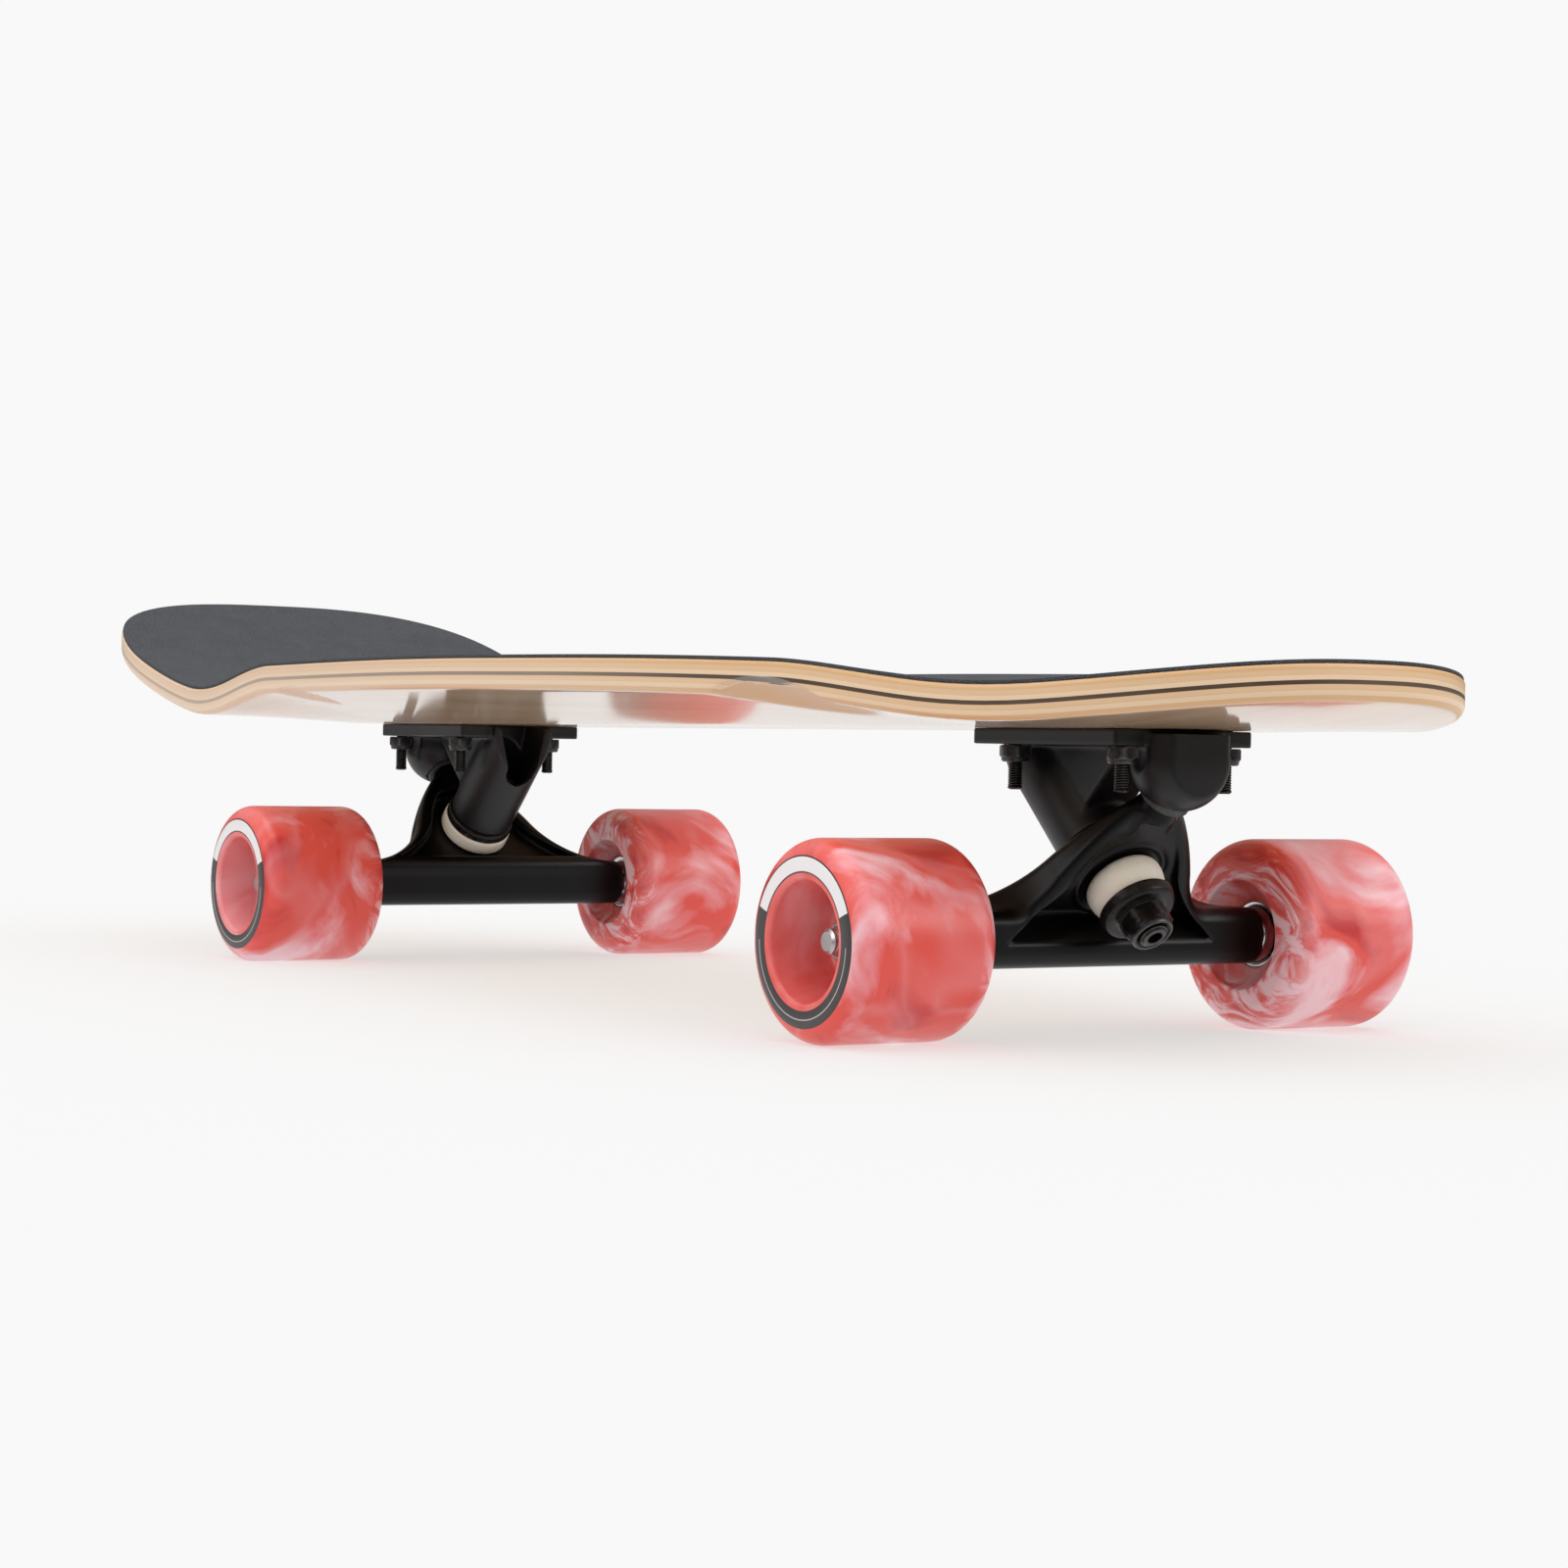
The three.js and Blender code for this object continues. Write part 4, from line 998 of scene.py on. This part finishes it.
def upper_washer_shape():
    """A cup washer whose lip hangs over the top of the bushing."""
    low = BOSS_END - GAP - WASHER_THICKNESS
    high = low + WASHER_THICKNESS
    r = WASHER_RADIUS + 0.2
    side = [(BUSHING_BORE, low), (13.1, low), (13.45, low - 0.3), (13.55, CUP_LIP + 0.25)]
    side += [(13.8, CUP_LIP), (r - 0.15, CUP_LIP), (r, CUP_LIP + 0.2)] + arc(r - 1.4, high - 1.4, 1.4, 0, 85, 5)
    return revolve(side + [(BUSHING_BORE, high)], 96, closed=True)


def lower_washer_shape():
    low = NUT_TOP + GAP
    top = LOWER_WASHER_TOP
    side = [(BUSHING_BORE, low), (9.8, low)] + arc(10.3, low + 1.9, 1.9, -85, -15, 5) + [(12.6, top + 0.6)]
    side += arc(12.3, top + 1.1, 0.45, -10, 160, 5) + [(11.3, top + 0.5), (10.6, top), (BUSHING_BORE, top)]
    return revolve(side, 96, closed=True)


def bolt_shape():
    top = DECK_THICKNESS + GAP + GAP + GRIP_THICKNESS - 0.25
    foot = [(0, BOLT_END), (1.7, BOLT_END), (2.1, BOLT_END + 0.3)]
    head = [(2.4, -3), (2.4, top - 3.4), (4.6, top - 0.7), (4.8, top - 0.4), (4.8, top - 0.1), (4.6, top)]
    socket = [(1.75, top), (1.65, top - 0.2), (1.6, top - 2), (0, top - 2.1)]
    verts, faces = threaded(2.4, BOLT_END + 0.5, -4, 0.8, 0.42, head=head + socket, foot=foot, segments=24)
    return verts, faces


def pivot_cup_shape():
    inside = PIVOT_RADIUS + GAP
    floor = CUP_END - 1.6
    profile = [(0, floor), (inside, floor), (inside, 33.4), (inside + 0.4, 33), (CUP_RADIUS - 0.4, 33),
               (CUP_RADIUS, 33.4), (CUP_RADIUS, CUP_END), (0, CUP_END)]
    return revolve(profile, 64)


def bearing_shape(face, direction):
    """Profile from the bore round the open face, outer ring and hidden face. Material 1 is the seal."""
    bore = AXLE_RADIUS + 0.1
    middle = BEARING_WIDTH + 4.9
    inner_ring = [(bore, -0.6), (4.4, -0.9), (5.7, -0.9), (5.95, -0.6), (5.95, 0.05)]
    cover = [(6.15, 0.1), (6.3, 0.55), (7.2, 0.5), (8.1, 0.5), (8.7, 0.55), (8.9, 0.1)]
    front = inner_ring + cover + [(9.05, 0.0), (10.6, 0.0), (11.0, 0.35)]
    back = [(11.0, BEARING_WIDTH - 0.35), (10.6, BEARING_WIDTH), (9.3, BEARING_WIDTH)]
    back += [(9.1, BEARING_WIDTH - 0.5), (6.2, BEARING_WIDTH - 0.5), (5.9, BEARING_WIDTH)]
    back += [(5.9, middle), (bore, middle)]
    profile = [(r, face + direction * d) for r, d in front + back]
    seal = [1 if 5 <= k <= 8 else 0 for k in range(len(profile))]
    if direction < 0:
        profile = profile[::-1]
        seal = [seal[(len(profile) - 2 - k) % len(profile)] for k in range(len(profile))]
    verts, faces = revolve(profile, 64, closed=True)
    return (verts, faces), [seal[k // 64] for k in range(len(faces))]


def wheel_shape():
    inner, outer = WHEEL_INNER_FACE, WHEEL_OUTER_FACE
    seat = BEARING_RADIUS + 0.1
    lip = WHEEL_RADIUS - WHEEL_LIP
    profile = [(14.5, INNER_BEARING_FACE - 1.2), (17.7, inner + 1.2)]
    profile += arc(19.0, inner + 1.2, 1.2, 190, 262, 4)
    profile += [(21, inner), (23.2, inner + 0.05)]
    profile += arc(lip, inner + WHEEL_LIP, WHEEL_LIP, -88, 0, 16)
    profile += [(WHEEL_RADIUS, z) for z in np.linspace(inner + WHEEL_LIP + 3, outer - WHEEL_LIP - 3, 12)]
    profile += arc(lip, outer - WHEEL_LIP, WHEEL_LIP, 0, 88, 16)
    profile += [(23, outer), (22, outer - 0.05), (21, outer - 0.15)]
    profile += arc(20.4, outer - 2.0, 1.85, 80, 178, 6)
    profile += [(17.6, outer - 6), (16.4, outer - 11), (15.6, outer - 16)]
    profile += [(14.8, OUTER_BEARING_FACE + 2), (14.0, OUTER_BEARING_FACE + 1.0)]
    profile += [(seat + 0.4, OUTER_BEARING_FACE + 0.4), (seat, OUTER_BEARING_FACE)]
    outer_step = OUTER_BEARING_FACE - BEARING_WIDTH - 0.1
    inner_step = INNER_BEARING_FACE + BEARING_WIDTH + 0.1
    profile += [(seat, outer_step), (HUB_BORE, outer_step), (HUB_BORE, inner_step), (seat, inner_step)]
    profile += [(seat, INNER_BEARING_FACE), (seat + 0.4, INNER_BEARING_FACE - 0.4)]
    return revolve(profile, 144, closed=True)


def corners(facing):
    for end, sx in (("outer", 1), ("inner", -1)):
        for sy in (-1, 1):
            side = "left" if facing * sy > 0 else "right"
            yield end + "_" + side, sx * BOLT_HALF_X, sy * BOLT_HALF_Y


def build_truck(name, plate_mesh, hanger_mesh):
    base = truck_frame(name)
    kingpin, steering = base @ KINGPIN, base @ STEERING
    board, hanger = "board", name + "_hanger"
    put = lambda piece, shape, place, body, slot, mats, **kw: place_piece(
        name + "_" + piece + "_look", shape, place, body, name + "_" + piece, slot, mats, **kw)
    put("baseplate", plate_mesh, base, board, "black_casting", [CASTING], sharp=60)
    put("hanger", hanger_mesh, base, hanger, "black_casting", [HANGER_CASTING_SHADED], sharp=60)
    put("pivot_cup", pivot_cup_shape(), steering, board, "black_plastic", [CUP_PLASTIC])
    axle_place = base @ shift(AXLE_X, 0, AXLE_Z) @ turn(-math.pi / 2, "X")
    put("axle", axle_shape(), axle_place, hanger, "bright_steel", [STEEL])
    put("kingpin", kingpin_shape(), kingpin, board, "black_steel", [BLACK_STEEL])
    put("kingpin_nut", kingpin_nut_shape(), kingpin, board, "black_steel", [BLACK_STEEL])
    put("washer_upper", upper_washer_shape(), kingpin, board, "black_steel", [WASHER_STEEL])
    put("washer_lower", lower_washer_shape(), kingpin, board, "black_steel", [WASHER_STEEL])
    for piece, shape, seat, far in (
            ("bushing_upper", upper_bushing_shape(), BOSS_END - GAP - WASHER_THICKNESS, WEB_TOP),
            ("bushing_lower", lower_bushing_shape(), LOWER_WASHER_TOP, WEB_BOTTOM)):
        rubber = put(piece, shape, kingpin, None, "bushing", [IVORY])
        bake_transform(rubber)
    for corner, x, y in corners(TRUCKS[name][1]):
        put("bolt_" + corner, bolt_shape(), base @ shift(x, y, 0), board, "black_steel", [BLACK_STEEL])
        turned = base @ shift(x, y, 0) @ turn(0.25 * x, "Z")
        put("locknut_" + corner, locknut_shape(), turned, board, "black_steel", [FASTENER_STEEL])
    facing = TRUCKS[name][1]
    for side in (1, -1):
        label = "left" if side * facing > 0 else "right"
        place = base @ shift(AXLE_X, 0, AXLE_Z) @ turn(-side * math.pi / 2, "X")
        wheel_body = name + "_" + label + "_wheel"
        seed, pale = WHEEL_LOOKS[wheel_body]
        rubber = urethane(wheel_body + "_urethane", seed, pale, -side * math.pi / 2)
        put(label + "_wheel", wheel_shape(), place, wheel_body, "urethane", [rubber], sharp=60)
        for which, face, direction in (("inner", INNER_BEARING_FACE, 1), ("outer", OUTER_BEARING_FACE, -1)):
            shape, seal = bearing_shape(face, direction)
            put(label + "_bearing_" + which, shape, place, wheel_body, "bearing_steel", [BEARING_STEEL, SEAL],
                face_materials=seal)
        put(label + "_axle_nut", axle_nut_shape(), place, hanger, "bright_steel", [STEEL])


WHEEL_LOOKS = {"front_right_wheel": (1.0, 0.15), "front_left_wheel": (2.0, 0.75),
               "rear_right_wheel": (3.0, 0.35), "rear_left_wheel": (4.0, 0.6)}

build_deck()
STEP = 0.7
PLATE_MESH = skin(baseplate_field, (BOSS_FACE - 3, -31, -49), (DOME_FACE + 3, 31, 2.5), STEP)
HANGER_MESH = skin(hanger_field, (-23, -68, -79), (36, 68, -10), STEP)
for truck in TRUCKS:
    build_truck(truck, PLATE_MESH, HANGER_MESH)


# ---------------------------------------------------------------- floor, light and camera
SKY = 0.945
FLOOR_REACH = 150.0
HORIZON, ZENITH = 0.40, 1.0
FLOOR_LIGHT = HORIZON + (ZENITH - HORIZON) * 2 / 3


def build_stage():
    """A floor that gives back exactly the light of the sky around it, so that no horizon shows."""
    m = Nodes("floor")
    speck = m.noise(m.coords, 4, 2)
    glow = m.tree.nodes.new("ShaderNodeEmission")
    glow.inputs[1].default_value = 2 * SKY - FLOOR_LIGHT * 0.9975
    glow.inputs[0].default_value = (1, 1, 1, 1)
    blend = m.tree.nodes.new("ShaderNodeMixShader")
    blend.inputs[0].default_value = 0.5
    matte = m.tree.nodes.new("ShaderNodeBsdfDiffuse")
    m.put(matte.inputs[0], m.ramp(speck, [(0, (0.995, 0.995, 0.995)), (1, (1.0, 1.0, 1.0))]))
    m.tree.links.new(matte.outputs[0], blend.inputs[1])
    m.tree.links.new(glow.outputs[0], blend.inputs[2])
    x, y, _ = m.split(m.coords)
    towards_camera = m.math("ADD", m.math("MULTIPLY", x, 0.84), m.math("MULTIPLY", y, -0.54))
    flag = m.tree.nodes.new("ShaderNodeEmission")
    m.put(flag.inputs[0], m.ramp(towards_camera, [(0.25, SKY), (0.6, 0.10)]))
    reflected = m.tree.nodes.new("ShaderNodeMixShader")
    m.tree.links.new(m.tree.nodes.new("ShaderNodeLightPath").outputs["Is Glossy Ray"], reflected.inputs[0])
    m.tree.links.new(blend.outputs[0], reflected.inputs[1])
    m.tree.links.new(flag.outputs[0], reflected.inputs[2])
    m.tree.links.new(reflected.outputs[0], m.output.inputs[0])
    m.tree.nodes.remove(m.shader)
    mesh = bpy.data.meshes.new("floor")
    corners_of_floor = [(FLOOR_REACH * x, FLOOR_REACH * y, 0) for x, y in ((-1, -1), (1, -1), (1, 1), (-1, 1))]
    mesh.from_pydata(corners_of_floor, [], [(0, 1, 2, 3)])
    mesh.materials.append(m.material)
    floor = bpy.data.objects.new("floor", mesh)
    bpy.context.scene.collection.objects.link(floor)
    floor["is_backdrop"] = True
    world = bpy.data.worlds.new("studio")
    bpy.context.scene.world = world
    world.use_nodes = True
    tree = world.node_tree
    even = tree.nodes["Background"]
    even.inputs[0].default_value = (SKY, SKY, SKY, 1)
    sky = tree.nodes.new("ShaderNodeSeparateXYZ")
    tree.links.new(tree.nodes.new("ShaderNodeTexCoord").outputs["Generated"], sky.inputs[0])
    path = tree.nodes.new("ShaderNodeLightPath").outputs

    def dome(start, low, end, high):
        """A sky that brightens from the horizon to the ceiling."""
        shade = tree.nodes.new("ShaderNodeValToRGB")
        for element, at, grey in zip(shade.color_ramp.elements, (start, end), (low, high)):
            element.position, element.color = at, (grey, grey, grey, 1)
        tree.links.new(sky.outputs[2], shade.inputs[0])
        background = tree.nodes.new("ShaderNodeBackground")
        tree.links.new(shade.outputs[0], background.inputs[0])
        return background.outputs[0]

    def choose(factor, otherwise, chosen):
        mixer = tree.nodes.new("ShaderNodeMixShader")
        for socket, value in zip(mixer.inputs, (factor, otherwise, chosen)):
            tree.links.new(value, socket)
        return mixer.outputs[0]

    seen = choose(path["Is Glossy Ray"], dome(0, HORIZON, 1, ZENITH), dome(0.08, 0.04, 0.62, 0.95))
    seen = choose(path["Is Camera Ray"], seen, even.outputs[0])
    tree.links.new(seen, tree.nodes["World Output"].inputs[0])
    bpy.context.scene.view_settings.view_transform = "Standard"


LIT = bpy.data.collections.new("lit_by_softboxes")


def softbox(name, place, target, size, power):
    light = bpy.data.lights.new(name, "AREA")
    light.shape = "RECTANGLE"
    light.size, light.size_y = size
    light.energy = power
    lamp = bpy.data.objects.new(name, light)
    bpy.context.scene.collection.objects.link(lamp)
    lamp.location = place
    lamp.rotation_mode = "QUATERNION"
    lamp.rotation_quaternion = (Vector(target) - Vector(place)).to_track_quat("-Z", "Y")
    lamp.visible_camera = False
    lamp.light_linking.receiver_collection = LIT


CAMERA_PLACE = (1053.2 + MID_WHEELBASE, -673.3, 87.9)
CAMERA_TURN = (146.81, -0.50, 1.106)  # yaw, pitch and roll in degrees
CAMERA_LENS = 77.27


def build_camera():
    """Low in front of the nose, looking back along the right-hand rail."""
    camera = bpy.data.objects.new("camera", bpy.data.cameras.new("camera"))
    bpy.context.scene.collection.objects.link(camera)
    yaw, pitch, roll = (math.radians(angle) for angle in CAMERA_TURN)
    forward = Vector((math.cos(pitch) * math.cos(yaw), math.cos(pitch) * math.sin(yaw), math.sin(pitch)))
    level = Vector((math.sin(yaw), -math.cos(yaw), 0))
    up = level.cross(forward)
    right = level * math.cos(roll) + up * math.sin(roll)
    up = up * math.cos(roll) - level * math.sin(roll)
    turned = Matrix((right, up, -forward)).transposed().to_4x4()
    camera.matrix_world = shift(*CAMERA_PLACE) @ turned
    camera.data.lens = CAMERA_LENS
    camera.data.sensor_width = 36.0
    camera.data.clip_end = 1000
    bpy.context.scene.camera = camera


build_stage()
for piece in bpy.context.scene.objects:
    if piece.type == "MESH" and piece.name != "floor":
        LIT.objects.link(piece)
softbox("top", (0.1, -0.1, 1.6), (0, 0, 0), (1.6, 1.2), 14)
softbox("left", (0.2, -1.8, 0.9), (0.1, 0, 0.08), (1.6, 1.0), 10)
softbox("front", (1.7, 1.1, 0.9), (0.2, 0, 0.06), (1.2, 0.9), 12)
build_camera()

visual_box = [list(corner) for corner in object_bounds()]
